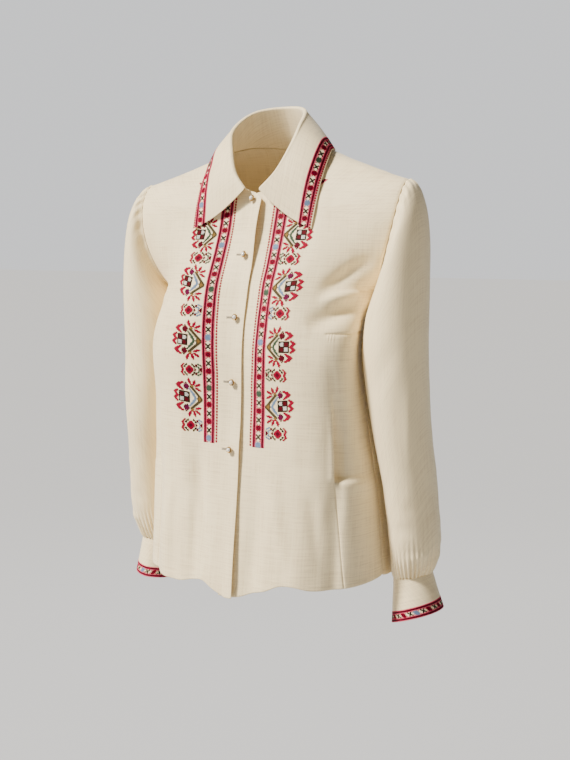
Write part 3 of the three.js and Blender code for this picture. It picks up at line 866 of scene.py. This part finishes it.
cutSizes = {  # width, length and area of each flat cut, in metres, and how it is held
    "front_right": (0.268, 0.614, 0.1400, "hung"), "front_left": (0.266, 0.615, 0.1400, "hung"),
    "back": (0.487, 0.670, 0.2700, "hung"),
    "sleeve_right": (0.392, 0.552, 0.1450, "gathered"), "sleeve_left": (0.392, 0.549, 0.1450, "gathered"),
    "cuff_right": (0.262, 0.058, 0.0136, "stretched"), "cuff_left": (0.284, 0.064, 0.0140, "stretched"),
    "collar": (0.530, 0.156, 0.0505, "folded"),
}
cloth = {"front_right": frontPanel("right"), "front_left": frontPanel("left"), "back": backPanel()}
for name in ("right", "left"):
    cloth[f"sleeve_{name}"] = sleevePanel(name)
    cloth[f"cuff_{name}"] = cuffPanel(name)
cloth["collar"] = collarPanel()
for piece in cloth.values():
    piece.data.materials.append(silkMaterial)
print("blouse: cloth made")


# Cross stitch: charts, and where each cell falls on the cloth
threads = {
    "r": (0.35, 0.0005, 0.030), "m": (0.12, 0.0005, 0.012), "i": (0.76, 0.095, 0.170),
    "k": (0.13, 0.002, 0.008), "P": (0.16, 0.003, 0.050), "b": (0.022, 0.020, 0.016),
    "d": (0.028, 0.016, 0.010), "o": (0.085, 0.062, 0.026), "g": (0.33, 0.18, 0.040),
    "G": (0.062, 0.105, 0.062), "B": (0.20, 0.29, 0.44), "w": (0.80, 0.77, 0.68),
}
boldThreads = {"d": 1.3, "o": 1.25, "m": 1.15, "r": 1.1}  # these are worked a little larger than their square
bandChart = {
    "cell": 1.36, "unit": 17, "across": 40.0, "lowerAcross": 37.5, "foot": -398, "top": -40,
    "aside": {"right": 0.0, "left": 1.8}, "phase": {"right": 4, "left": 2}, "dotted": -1.2,
    "evenUp": 160, "closer": 0.95,  # above evenUp from the foot the units sit closer together
    "dot": (1.8, 1.1), "flower": (1.05, 1.05), "crossing": (1.55, 1.4),  # stitch sizes, in cells
}
bandSway = {  # height, and how far the band stands further from the centre there
    "right": [(-400, 1.0), (-300, 1.4), (-250, 3.3), (-200, 5.8), (-110, 5.5)],
    "left": [(-400, 0.6), (-320, 0.6), (-290, 2.2), (-240, 3.6), (-160, 3.0), (-110, 1.7)],
}
flower = "..i...i.. ...r.r... ..rrmrr.. .rrmmmrr. .rmmrmmr. .rrmmmrr. ..rrmrr.. ...r.r... ..i...i..".split()
crossing = "..b...b.. ...b.b... r...b...r ...b.b... ..b...b..".split()
flowerOrder = "BrrGrr"
bandLines = (  # place across, thread, width of a stitch
    (1.5, "i", 1.0), (2.6, "m", 1.1), (3.5, "m", 1.1), (4.7, "i", 0.95),
    (11.3, "i", 0.95), (12.5, "m", 1.1), (13.4, "m", 1.1), (14.5, "i", 1.0),
)
motifRows = """r14 / r7 r13-14 / r7-8 r13-15 / r7-9 r12-14 / r2-3 r7-9 r12-14 / r2-5 r8-9 r12-13 d17 r20-22 /
 r3-6 r8-10 r11-12 p16 p18 r20-25 / r5-7 g10-11 p15-18 r22-26 / g9-11 o12 p14-19 r23-27 /
 r4-7 o10-12 p14-18 d19 r24-28 / r2-6 o9-11 p15-19 r23-27 / r1-4 o8-10 n13-14 p15-17 d18 r22-26 /
 o7-9 n12-13 d16 r21-24 / o6-8 n11-12 r20-22 / o5-7 n10-12 r26-27 / o4-6 n9-11 d14-24 r26-29 /
 o3-5 n8-10 d14-15 w16-18 d19 k20-23 d24 r27-30 / o2-4 n8-10 d14 w15-18 d19 k20-23 d24 r28-31 /
 o1-2 g3 o4 n7-9 d14 w15-18 d19 k20-23 d24 r27-30 / o0-1 g2-3 o4 n7-8 d14-15 w16-18 d19 k20-23 d24 r26-29 /
 o0 g1-4 o5 n6-8 d14-24 r25-28""".split("/")
motif = {  # height, leaf and bud threads, distance from the centre line, stitch width, rise per mm outwards
    "row": 1.33, "middleColumn": 19,
    "right": [(-115, "G", "m", 57.3, 1.36, 0), (-179, "B", "P", 57.6, 1.55, 0.18),
              (-257.5, "G", "m", 51.6, 1.55, 0.08), (-337, "B", "P", 51.1, 1.50, 0.13)],
    "left": [(-115, "G", "m", 53.0, 1.36, 0), (-182, "B", "P", 54.0, 1.36, 0.14),
             (-261, "G", "m", 55.4, 1.36, 0.05), (-340, "B", "P", 51.2, 1.36, 0.12)],
}
sprigRows = "...nn... .nnn.pp. nn...pp. ...nnn.. p.nn.... pp.n...p ppp...pp".split()
smallMotif = {  # height, leaf thread, distance from the centre line, stitch width
    "right": [(-147, "G", 57.8, 1.52), (-218, "B", 55.5, 1.52),
              (-299, "G", 50.8, 1.44), (-377, "B", 51.0, 1.42)],
    "left": [(-147, "G", 52.4, 1.36), (-218, "B", 53.6, 1.36),
             (-299, "G", 53.2, 1.36), (-378, "B", 52.0, 1.36)],
}


def marks(chart):  # the worked squares in one row of a chart
    return [(column, mark) for column, mark in enumerate(chart) if mark != "."]


def bandCells(rows, phase, dotted):  # (across, along, thread, wide, tall) counted in cells
    unitRows = bandChart["unit"]
    for row in range(rows):
        if row % 3:
            yield dotted, row, "r", *bandChart["dot"]
        for across, thread, wide in bandLines:
            yield across, row, thread, wide, 1
        inUnit, number = (row - phase) % unitRows, (row - phase) // unitRows
        if inUnit <= 4 or inUnit >= unitRows - 4:
            nearer = inUnit if inUnit <= 4 else inUnit - unitRows
            tone = flowerOrder[(number + (inUnit > 4)) % len(flowerOrder)]
            dyed = {"r": tone, "m": "m" if tone == "r" else tone}
            for column, mark in marks(flower[nearer + 4]):
                yield 4 + column, row, dyed.get(mark, mark), *bandChart["flower"]
        elif 6 <= inUnit <= 10:
            for column, mark in marks(crossing[inUnit - 6]):
                yield 4 + column, row, mark, *bandChart["crossing"]


def motifCells():  # each row names a thread and its columns; the lower half mirrors the upper one
    for i, text in enumerate(motifRows):
        up = len(motifRows) - 1 - i
        for run in text.split():
            first, _, last = run[1:].partition("-")
            for column in range(int(first), int(last or first) + 1):
                yield column, up, run[0]
                if up:
                    swapped = {"w": "k", "k": "w"}.get(run[0], run[0])
                    yield column, -up, swapped


def smallCells():  # a sprig on the inner side, a diamond with its corner marks, and a petal on the outer side
    middle = 13
    for i, text in enumerate(sprigRows):
        for column, mark in marks(text):
            for row in {6 - i, i - 6}:
                yield column, row, mark
    for row, half in enumerate((4, 4, 3, 2, 1)):
        for column in range(middle - half, middle + half + 1):
            for signed in {row, -row}:
                yield column, signed, "m" if abs(column - middle) + row < 3 else "r"
    for away, row in ((5, 3), (6, 3), (5, 4), (4, 5), (3, 5), (3, 6)):
        for column in (middle - away, middle + away):
            for signed in (row, -row):
                yield column, signed, "d" if away > 3 else "o"
    petal = ((6, 19, 20), (5, 20, 21), (4, 21, 22), (3, 21, 23), (2, 21, 22), (1, 20, 22), (0, 20, 21))
    for row, first, last in petal:
        for column in range(first, last + 1):
            for signed in {row, -row}:
                yield column, signed, "r"


def placedMotif(cells, middle, leafTone, budTone, start, width, rise):  # bold threads overfill their square
    tall = motif["row"]
    for column, row, thread in cells:
        thread = {"n": leafTone, "p": budTone}.get(thread, thread)
        bold, lift = boldThreads.get(thread, 1), (column - motif["middleColumn"]) * width * rise
        yield start + column * width, middle + row * tall + lift, thread, width * bold, tall * bold


def frontStitches(name):
    cell, (levels, heights) = bandChart["cell"], surfaces[f"front_{name}"]["heights"]
    foot, top = (float(np.interp(z, levels, heights)) for z in (bandChart["foot"], bandChart["top"]))
    even, closer = bandChart["evenUp"], bandChart["closer"]
    rows = int((even + (top - foot - even) / closer) / cell)
    for across, along, thread, wide, tall in bandCells(rows, bandChart["phase"][name], bandChart["dotted"]):
        up = min(along * cell, even) + max(along * cell - even, 0) * closer
        sway = np.interp(np.interp(foot + up, heights, levels), *zip(*bandSway[name]))
        lean = mix(bandChart["lowerAcross"], bandChart["across"], up / (top - foot))
        lean = lean + bandChart["aside"][name] + sway
        yield lean + (across - 8) * cell, foot + up, thread, cell * wide, cell * tall
    for z, *look in motif[name]:
        yield from placedMotif(motifCells(), float(np.interp(z, levels, heights)), *look)
    for z, leafTone, start, width in smallMotif[name]:
        middle = float(np.interp(z, levels, heights))
        yield from placedMotif(smallCells(), middle, leafTone, "m", start, width, 0)


collarBorder = {"cell": 1.22, "edge": 2.0, "phase": 31, "dotted": 0.2}


def collarStitches():  # from each tip to the centre back
    cell, reach = collarBorder["cell"], surfaces["collar"]["flat"][..., 0].max()
    for side in (rightSide, leftSide):
        cells = bandCells(int(reach / 2 / cell) + 4, collarBorder["phase"], collarBorder["dotted"])
        for across, along, thread, wide, tall in cells:
            fromTip = (along - 4) * cell
            place = fromTip if side == rightSide else reach - fromTip
            if fromTip < reach / 2:
                yield place, collarBorder["edge"] + across * cell, thread, cell * tall, cell * wide


cuffBorder = {"cell": 1.1, "lift": 0.9, "length": 330}  # longer than either cuff; the rest falls away


def cuffStitches():
    cell = cuffBorder["cell"]
    cells = bandCells(int(cuffBorder["length"] / cell), bandChart["phase"]["right"], 0)
    for across, along, thread, wide, tall in cells:
        if across > 1:  # without the dotted line
            yield along * cell, cuffBorder["lift"] + (across - 2) * cell, thread, cell * tall, cell * wide


def onCloth(panel, wanted, reach=0.7):  # places on the flat chart, put on the cloth's outer face
    surface = surfaces[panel]
    part = surface.get("columns", slice(None))
    chart = surface.get("chart", surface["flat"])[:, part]
    points, normals = surface["points"][:, part], surface["normals"][:, part]
    quads = quadsOf(gridIndex(chart))
    corners = np.concatenate([quads[:, [0, 1, 2]], quads[:, [0, 2, 3]]])
    flat, solid, facing = chart.reshape(-1, 2), points.reshape(-1, 3), normals.reshape(-1, 3)
    tree = BVHTree.FromPolygons([(x, y, 0) for x, y in flat], corners.tolist())
    kept, found = [], []
    for i, place in enumerate(wanted):
        spot, _, face, away = tree.find_nearest((place[0], place[1], 0))
        if face is not None and away < reach:
            kept.append(i)
            found.append((spot[0], spot[1], face))
    found = np.array(found)
    tri = corners[found[:, 2].astype(int)]
    p0, p1, p2 = flat[tri[:, 0]], flat[tri[:, 1]], flat[tri[:, 2]]
    e1, e2, off = p1 - p0, p2 - p0, found[:, :2] - p0
    size = e1[:, 0] * e2[:, 1] - e1[:, 1] * e2[:, 0]
    size = np.where(np.abs(size) < 1e-9, 1e-9, size)
    v = ((off[:, 0] * e2[:, 1] - off[:, 1] * e2[:, 0]) / size)[:, None]
    w = ((e1[:, 0] * off[:, 1] - e1[:, 1] * off[:, 0]) / size)[:, None]
    s1, s2 = solid[tri[:, 1]] - solid[tri[:, 0]], solid[tri[:, 2]] - solid[tri[:, 0]]
    normal = unit(facing[tri[:, 0]] * (1 - v - w) + facing[tri[:, 1]] * v + facing[tri[:, 2]] * w)
    across = (s1 * e2[:, 1:2] - s2 * e1[:, 1:2]) / size[:, None]
    return np.array(kept, int), solid[tri[:, 0]] + s1 * v + s2 * w, normal, unit(across)


# Stitches grown by geometry nodes
def stitchTree(name, strands):  # strands: how far each thread of the stitch is turned, in degrees
    tree = bpy.data.node_groups.new(name, "GeometryNodeTree")
    for socket, kind, value in (
        ("Geometry", "NodeSocketGeometry", None), ("Thread Width", "NodeSocketFloat", 0.42),
        ("Unevenness", "NodeSocketFloat", 0.1), ("Seed", "NodeSocketInt", 5),
        ("Thread", "NodeSocketMaterial", None),
    ):
        made = tree.interface.new_socket(name=socket, in_out="INPUT", socket_type=kind)
        if value is not None:
            made.default_value = value
    tree.interface.new_socket(name="Geometry", in_out="OUTPUT", socket_type="NodeSocketGeometry")
    given = tree.nodes.new("NodeGroupInput")

    def node(kind, settings=None, **values):
        made = tree.nodes.new(kind)
        for setting, value in (settings or {}).items():
            setattr(made, setting, value)
        for key, value in values.items():
            socket = made.inputs[int(key[1:])] if key[1:].isdigit() else made.inputs[key.replace("_", " ")]
            if isinstance(value, bpy.types.NodeSocket):
                tree.links.new(value, socket)
            else:
                socket.default_value = value
        return made

    half = node("ShaderNodeMath", {"operation": "MULTIPLY"}, i0=given.outputs["Thread Width"], i1=0.5)
    line = node("GeometryNodeCurvePrimitiveLine", Start=(-0.5, 0, 0), End=(0.5, 0, 0))
    ring = node("GeometryNodeCurvePrimitiveCircle", Resolution=3, Radius=half.outputs[0])
    around = {"Curve": line.outputs[0], "Profile_Curve": ring.outputs["Curve"]}
    strand = node("GeometryNodeCurveToMesh", **around, Fill_Caps=True)
    joined = node("GeometryNodeJoinGeometry")
    for number, (degrees, length) in enumerate(strands):
        turned = node(
            "GeometryNodeTransform", Geometry=strand.outputs[0], Translation=(0, 0, 0.1 * number),
            Rotation=(0, 0, math.radians(degrees)), Scale=(length, 1, 1),
        )
        tree.links.new(turned.outputs[0], joined.inputs[0])
    facing, grain, size = (
        node("GeometryNodeInputNamedAttribute", {"data_type": "FLOAT_VECTOR"}, Name=key).outputs[0]
        for key in ("facing", "grain", "size")
    )
    axes = {"primary_axis": "Z", "secondary_axis": "X"}
    turn = node("FunctionNodeAxesToRotation", axes, i0=facing, i1=grain)
    negative = node("ShaderNodeMath", {"operation": "MULTIPLY"}, i0=given.outputs["Unevenness"], i1=-1.0)
    twist = node("FunctionNodeRandomValue", {"data_type": "FLOAT"})
    tree.links.new(negative.outputs[0], twist.inputs[2])
    tree.links.new(given.outputs["Unevenness"], twist.inputs[3])
    tree.links.new(given.outputs["Seed"], twist.inputs["Seed"])
    aroundZ = node("ShaderNodeCombineXYZ", Z=twist.outputs[1])
    asTurn = node("FunctionNodeEulerToRotation", i0=aroundZ.outputs[0])
    local = {"rotation_space": "LOCAL"}
    uneven = node("FunctionNodeRotateRotation", local, i0=turn.outputs[0], i1=asTurn.outputs[0])
    placed = node(
        "GeometryNodeInstanceOnPoints", Points=given.outputs["Geometry"], Instance=joined.outputs[0],
        Rotation=uneven.outputs[0], Scale=size,
    )
    real = node("GeometryNodeRealizeInstances", Geometry=placed.outputs[0])
    shaded = node("GeometryNodeSetShadeSmooth", Geometry=real.outputs[0])
    dressed = node("GeometryNodeSetMaterial", Geometry=shaded.outputs[0], Material=given.outputs["Thread"])
    tree.links.new(dressed.outputs[0], tree.nodes.new("NodeGroupOutput").inputs[0])
    return tree


crossTree = stitchTree("cross_stitch", [(45, 1.36), (-45, 1.36)])
lineTree = stitchTree("straight_stitch", [(0, 1.0)])


def growStitches(name, tree, spots, facing, grain, sizes, colours, inputs):
    mesh = bpy.data.meshes.new(name + "_points")
    mesh.from_pydata((spots * mm).tolist(), [], [])
    for key, kind, field, values in (
        ("facing", "FLOAT_VECTOR", "vector", facing), ("grain", "FLOAT_VECTOR", "vector", grain),
        ("size", "FLOAT_VECTOR", "vector", sizes * mm),
        ("thread", "FLOAT_COLOR", "color", np.concatenate([colours, np.ones((len(colours), 1))], axis=1)),
    ):
        layer = mesh.attributes.new(key, kind, "POINT")
        layer.data.foreach_set(field, np.ascontiguousarray(values, dtype=np.float32).ravel())
    source = bpy.data.objects.new(name + "_points", mesh)
    bpy.context.scene.collection.objects.link(source)
    modifier = source.modifiers.new("stitches", "NODES")
    modifier.node_group = tree
    sockets = {item.name: item.identifier for item in tree.interface.items_tree if item.in_out == "INPUT"}
    for key, value in inputs.items():
        modifier[sockets[key]] = value
    graph = bpy.context.evaluated_depsgraph_get()
    ready = source.evaluated_get(graph)
    grown = bpy.data.meshes.new_from_object(ready, preserve_all_data_layers=True, depsgraph=graph)
    bpy.data.objects.remove(source)
    grown.name = name
    piece = bpy.data.objects.new(name, grown)
    bpy.context.scene.collection.objects.link(piece)
    triangles = sum(len(p.vertices) - 2 for p in grown.polygons)
    print("blouse:", name, len(spots), "stitches", triangles, "triangles")
    return piece


def threadMaterial(name, roughness):
    shader = Shader(name, Sheen_Weight=0.02, Sheen_Roughness=0.4, Specular_IOR_Level=0.08)
    dyed = shader.node("ShaderNodeAttribute", {"attribute_name": "thread"})
    place = shader.node("ShaderNodeTexCoord", {}, output=3)
    strand = shader.noise(place, 2600, 2, 0.6)
    worn = shader.noise(place, 260, 2)
    colour = shader.colour((strand * 0.3 + worn * 0.2 - 0.1).clamped(), dyed, (0.0, 0.0, 0.0, 1))
    return shader.finish(colour, roughness + strand * 0.12, strand, bumpSize=0.00012, strength=0.7)


embroideryThread = threadMaterial("embroidery_thread", 0.44)
sewingThread = threadMaterial("sewing_thread", 0.5)


crossStitch = {"threadWidth": 0.86, "unevenness": 0.07, "height": 0.56, "lift": 0.05, "shades": (0.86, 1.12)}


def embroider(panel, stitches, seed):
    stitches = list(stitches)
    kept, spots, facing, grain = onCloth(panel, [(x, y) for x, y, *_ in stitches])
    chosen = [stitches[i] for i in kept]
    shades = np.random.default_rng(seed).uniform(*crossStitch["shades"], (len(chosen), 1))
    colours = np.clip(np.array([threads[thread] for _, _, thread, _, _ in chosen]) * shades, 0, 1)
    sizes = np.array([(wide, tall, bandChart["cell"] * crossStitch["height"]) for *_, wide, tall in chosen])
    inputs = {
        "Thread Width": crossStitch["threadWidth"], "Unevenness": crossStitch["unevenness"],
        "Seed": seed, "Thread": embroideryThread,
    }
    lifted = spots + facing * crossStitch["lift"]
    return growStitches("embroidery_" + panel, crossTree, lifted, facing, grain, sizes, colours, inputs)


embroidery = {
    "front_right": embroider("front_right", frontStitches("right"), 3),
    "front_left": embroider("front_left", frontStitches("left"), 4),
    "collar": embroider("collar", collarStitches(), 5),
    "cuff_right": embroider("cuff_right", cuffStitches(), 6),
    "cuff_left": embroider("cuff_left", cuffStitches(), 7),
}


# Sewn lines: hem, darts, slash and buttonholes
sewing = {
    # shade is painted shade: the colour of the dark stitch laid along each buttonhole's open slit
    "colour": (0.74, 0.655, 0.50), "shade": (0.20, 0.12, 0.055), "stitch": 2.0, "pitch": 2.7, "thread": 0.34,
    "unevenness": 0.04, "lift": 0.02, "ahead": 0.6, "beside": 2.2, "cuffEdge": 2.0,
    "holeLength": 14.5, "holeStart": 2.5, "holeStep": 0.42, "holeEdge": 0.75, "holeTone": 0.93,
    "holeStitch": (1.5, 0.42, 0.55), "holeGap": (0.95, 0.5), "gapLift": 0.05,
}


def sewnLine(panel, line):  # stitches end to end along a line on the flat cloth
    line = np.array(line, float)
    far = np.concatenate([[0], np.cumsum(np.linalg.norm(np.diff(line, axis=0), axis=-1))])
    stops = np.arange(sewing["pitch"] / 2, far[-1], sewing["pitch"])
    spots = np.stack([np.interp(stops, far, line[:, i]) for i in (0, 1)], axis=-1)
    ahead = np.stack([np.interp(stops + sewing["ahead"], far, line[:, i]) for i in (0, 1)], axis=-1)
    kept, here, facing, _ = onCloth(panel, spots)
    _, there, _, _ = onCloth(panel, ahead[kept], 5)
    sizes = np.tile([sewing["stitch"], sewing["thread"], sewing["thread"]], (len(here), 1))
    return here, facing, unit(there - here), sizes, np.tile(sewing["colour"], (len(here), 1))


def buttonhole(panel, height):  # a corded slit: stitches across it, close together, and a dark stitch in the gap whose colour is painted shade of the open slit
    across = np.arange(0, sewing["holeLength"], sewing["holeStep"]) + sewing["holeStart"]
    here, facing, grain, sizes, colours = [], [], [], [], []
    for side in (-1, 1):
        _, spots, normals, along = onCloth(panel, [(q, height + side * sewing["holeEdge"]) for q in across])
        here.append(spots)
        facing.append(normals)
        grain.append(np.cross(normals, along))
        sizes.append(np.tile(sewing["holeStitch"], (len(spots), 1)))
        colours.append(np.tile(sewing["colour"], (len(spots), 1)) * sewing["holeTone"])
    # the gap: one long stitch coloured with painted shade, standing in for the shadow inside the slit
    _, spots, normals, along = onCloth(panel, [(sewing["holeStart"] + sewing["holeLength"] / 2, height)])
    here.append(spots + normals * sewing["gapLift"])
    facing.append(normals)
    grain.append(along)
    sizes.append(np.array([[sewing["holeLength"], *sewing["holeGap"]]]))
    colours.append(np.array([sewing["shade"]]))
    return [np.concatenate(x) for x in (here, facing, grain, sizes, colours)]


def sew(panel, parts, seed):
    here, facing, grain, sizes, colours = (np.concatenate(x) for x in zip(*parts))
    inputs = {"Thread Width": 1.0, "Unevenness": sewing["unevenness"], "Seed": seed, "Thread": sewingThread}
    lifted = here + facing * sewing["lift"]
    return growStitches("sewing_" + panel, lineTree, lifted, facing, grain, sizes, colours, inputs)


frontButtons = {"x": -1, "before": -400, "heights": [-66, -142, -226, -313, -405]}


def frontSewing(name):
    panel, surface = f"front_{name}", surfaces[f"front_{name}"]
    flat, heights = surface["flat"], surface["heights"]
    row = int(np.argmin(np.abs(surface["hemTop"][:, 5] - hem["height"])))
    parts = [sewnLine(panel, flat[row])]
    stitched = np.interp(flat[:, 0, 1], heights[1], heights[0]) < stitchedDart["top"] - 2
    dartColumn = np.stack([surface["dart"][:, 0], flat[:, 30, 1]], axis=-1)
    parts.append(sewnLine(panel, dartColumn[stitched] + np.array([sewing["beside"], 0])))
    if name == "right":
        for height in frontButtons["heights"][1:]:
            parts.append(buttonhole(panel, float(np.interp(height, *heights))))
    else:
        above = float(np.interp(slash["z"], *heights)) + sewing["beside"]
        parts.append(sewnLine(panel, [(slash[end] + slash["flatAside"], above) for end in ("from", "to")]))
    return parts


def backSewing():
    flat = surfaces["back"]["flat"]
    row = int(np.argmin(np.abs(flat[:, 60, 1] - hem["height"])))
    return [sewnLine("back", flat[row])]


def cuffSewing(name):
    flat = surfaces[f"cuff_{name}"]["flat"]
    return [sewnLine(f"cuff_{name}", flat[0] - np.array([0, sewing["cuffEdge"]]))]


sewn = {}
for i, name in enumerate(("right", "left")):
    sewn[f"front_{name}"] = sew(f"front_{name}", frontSewing(name), 11 + i)
sewn["back"] = sew("back", backSewing(), 13)
for i, name in enumerate(("right", "left")):
    sewn[f"cuff_{name}"] = sew(f"cuff_{name}", cuffSewing(name), 14 + i)


# Buttons: a pearl in a scalloped gold cup on a shank
button = {
    "cupProfile": [
        (0.05, 0.35), (1.5, 0.35), (1.55, 1.9), (2.6, 2.3), (3.7, 2.9), (4.3, 4.0),
        (4.5, 5.0), (4.15, 5.2), (3.7, 4.7), (2.8, 3.9), (0.05, 3.6),
    ],
    "lobes": 10, "lobeDepth": 0.10, "sides": 40,
    "pearl": 2.75, "pearlFlat": 0.95, "pearlHeight": 5.6, "pearlRings": 14,
}


def turned(profile, sides, lobes=0, lobeDepth=0.0):
    turn = 2 * np.pi * np.arange(sides) / sides
    points = []
    for radius, height in profile:
        reach = radius * (1 + lobeDepth * np.cos(lobes * turn) * step(radius, 2.5, 4.5))
        points.append(triple(reach * np.cos(turn), reach * np.sin(turn), height))
    points, faces = np.concatenate(points), []
    for ring in range(len(profile) - 1):
        for i in range(sides):
            j = (i + 1) % sides
            faces.append([ring * sides + i, ring * sides + j, (ring + 1) * sides + j, (ring + 1) * sides + i])
    faces.append(list(range(sides))[::-1])
    faces.append([(len(profile) - 1) * sides + i for i in range(sides)])
    return points, faces


def goldMetal():
    shader = Shader("button_gold")
    place = shader.node("ShaderNodeTexCoord", {}, output=3)
    wear = shader.noise(place, 700, 3)
    colour = shader.colour(wear, (0.56, 0.36, 0.13, 1), (0.28, 0.18, 0.07, 1))
    return shader.finish(colour, 0.26 + wear * 0.22, wear, bumpSize=0.00005, strength=0.5, metallic=1.0)


def pearl():
    shader = Shader("pearl_button", Sheen_Weight=0.15, Coat_Weight=0.6)
    place = shader.node("ShaderNodeTexCoord", {}, output=3)
    cloud = shader.noise(place, 420, 2)
    colour = shader.colour(cloud, (0.93, 0.90, 0.83, 1), (0.80, 0.76, 0.70, 1))
    return shader.finish(colour, 0.16 + cloud * 0.1)


goldMaterial, pearlMaterial = goldMetal(), pearl()


def makeButton(name, panel, seat, towards):  # stands where a line from the seat meets the cloth
    ground = surfaces[panel]["points"]
    tree = BVHTree.FromPolygons(ground.reshape(-1, 3).tolist(), quadsOf(gridIndex(ground)).tolist())
    spot, normal, _, _ = tree.ray_cast(Vector(seat), Vector(towards))
    spot, outward = np.array(spot), np.array(normal) * (-1 if normal.dot(Vector(towards)) > 0 else 1)
    side = unit(np.cross(outward, [0.0, 0.0, 1.0]))
    frameOf = np.stack([side, np.cross(outward, side), outward])
    cup, cupFaces = turned(button["cupProfile"], button["sides"], button["lobes"], button["lobeDepth"])
    arc = np.linspace(-np.pi / 2, np.pi / 2, button["pearlRings"])
    radii = np.maximum(button["pearl"] * np.cos(arc), 0.02)
    heights = button["pearlHeight"] + button["pearl"] * np.sin(arc) * button["pearlFlat"]
    bead, beadFaces = turned(list(zip(radii, heights)), button["sides"] // 2)
    points = np.concatenate([cup, bead]) @ frameOf + spot
    faces = cupFaces + [[i + len(cup) for i in face] for face in beadFaces]
    piece = makeMesh(name, points, faces)
    for material in (goldMaterial, pearlMaterial):
        piece.data.materials.append(material)
    for polygon in piece.data.polygons:
        polygon.material_index = int(min(polygon.vertices) >= len(cup))
    return piece


buttons = {}
for i, height in enumerate(frontButtons["heights"]):
    seat = (frontButtons["x"], frontButtons["before"], height)
    buttons[f"button_{i + 1}"] = makeButton(f"pearl_button_{i + 1}", "front_right", seat, (0, 1, 0))
for name in ("right", "left"):
    low, high = (np.array(corner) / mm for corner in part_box(f"cuff_button_{name}"))
    middle = (low + high) / 2
    wristX = sideOf[name] * (armRings["outerX"][-1] + armRings["innerX"][-1]) / 2
    outward = unit(middle - np.array([wristX, armRings["middleY"][-1], middle[2]]))
    buttons[f"cuff_button_{name}"] = makeButton(
        f"pearl_cuff_button_{name}", f"cuff_{name}", tuple(middle + outward * 20), tuple(-outward)
    )
print("blouse: buttons made")

# Floor, light and camera
studio = {  # in metres
    "floorZ": -1.35, "floorHalf": 30.0, "world": (0.66, 0.63, 0.59, 1), "worldStrength": 0.19,
    "backdrop": (0.94, 0.945, 0.96, 1), "floorColour": (0.50, 0.505, 0.52, 1), "aim": (0, 0, -0.3),
}
lamps = {  # kind, place, energy, size or angle, colour
    "key": ("SUN", (-0.877, -1.045, 1.163), 8.0, 0.16, (1, 0.96, 0.89)),
    "high key": ("AREA", (-1.15, -1.35, 1.05), 24, 0.6, (1, 0.96, 0.90)),
    "fill": ("AREA", (2.4, -1.6, 0.6), 1.2, 1.8, (0.95, 0.97, 1)),
    "rim": ("AREA", (-1.4, 2.2, 1.0), 14, 1.4, (1, 1, 1)),
}
view = {"lens": 54.71, "place": (0.825, -1.4289, -0.115), "down": 7.156, "turn": 29.504}  # turns in degrees


def makeFloor():
    half, z = studio["floorHalf"], studio["floorZ"]
    corners = [(-half, -half, z), (half, -half, z), (half, half, z), (-half, half, z)]
    mesh = bpy.data.meshes.new("floor")
    mesh.from_pydata(corners, [], [[0, 1, 2, 3]])
    floor = bpy.data.objects.new("floor", mesh)
    bpy.context.scene.collection.objects.link(floor)
    shader = Shader("floor_paint")
    place = shader.node("ShaderNodeTexCoord", {}, output=3)
    mesh.materials.append(shader.finish(studio["floorColour"], 0.7 + shader.noise(place, 3) * 0.1))


def makeLamp(name, kind, place, energy, size, colour):
    data = bpy.data.lights.new(name, kind)
    data.energy, data.color = energy, colour
    if kind == "AREA":
        data.size = size
    else:
        data.angle = size
    lamp = bpy.data.objects.new(name, data)
    lamp.location = place
    lamp.rotation_euler = (Vector(studio["aim"]) - Vector(place)).to_track_quat("-Z", "Y").to_euler()
    bpy.context.scene.collection.objects.link(lamp)


def makeWorld():  # the cloth is lit by one colour, and another one stands behind it
    world = bpy.data.worlds.new("studio")
    bpy.context.scene.world = world
    world.use_nodes = True
    nodes = world.node_tree.nodes
    background, backdrop = nodes["Background"], nodes.new("ShaderNodeBackground")
    background.inputs["Color"].default_value = studio["world"]
    background.inputs["Strength"].default_value = studio["worldStrength"]
    backdrop.inputs["Color"].default_value = studio["backdrop"]
    seen, either = nodes.new("ShaderNodeLightPath"), nodes.new("ShaderNodeMixShader")
    for output, socket in (
        (seen.outputs["Is Camera Ray"], either.inputs[0]), (background.outputs[0], either.inputs[1]),
        (backdrop.outputs[0], either.inputs[2]), (either.outputs[0], nodes["World Output"].inputs[0]),
    ):
        world.node_tree.links.new(output, socket)


def makeCamera():
    camera = bpy.data.objects.new("camera", bpy.data.cameras.new("camera"))
    camera.data.lens = view["lens"]
    camera.location = view["place"]
    camera.rotation_euler = (math.radians(90 - view["down"]), 0, math.radians(view["turn"]))
    bpy.context.scene.collection.objects.link(camera)
    bpy.context.scene.camera = camera


makeFloor()
for name, lamp in lamps.items():
    makeLamp(name, *lamp)
makeWorld()
makeCamera()
print("blouse: floor, lights and camera made")

# Which body each piece belongs to, and the cloth's cut sizes
for name, piece in cloth.items():
    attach(piece, "root")
    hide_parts(name)
for group, slotName in ((embroidery, "embroidery_thread"), (sewn, "sewing_thread")):
    for piece in group.values():
        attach(piece, "root")
for name, piece in buttons.items():
    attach(piece, "root")
    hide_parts(name)
hangsFrom = {
    "front_right": ["cloth_back"], "front_left": ["cloth_back"],
    "back": ["cloth_front_right", "cloth_front_left"],
    "sleeve_right": ["cloth_front_right", "cloth_back"], "sleeve_left": ["cloth_front_left", "cloth_back"],
    "cuff_right": ["cloth_sleeve_right"], "cuff_left": ["cloth_sleeve_left"],
    "collar": ["cloth_front_right", "cloth_front_left", "cloth_back"],
}
for name, piece in cloth.items():
    wide, long, area, held = cutSizes[name]
    onIt = [group[name] for group in (embroidery, sewn) if name in group]
    if name == "front_right":
        onIt += [pearlButton for key, pearlButton in buttons.items() if key.startswith("button")]
    if name.startswith("cuff"):
        onIt.append(buttons[name.replace("cuff", "cuff_button")])
    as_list(hangsFrom[name])
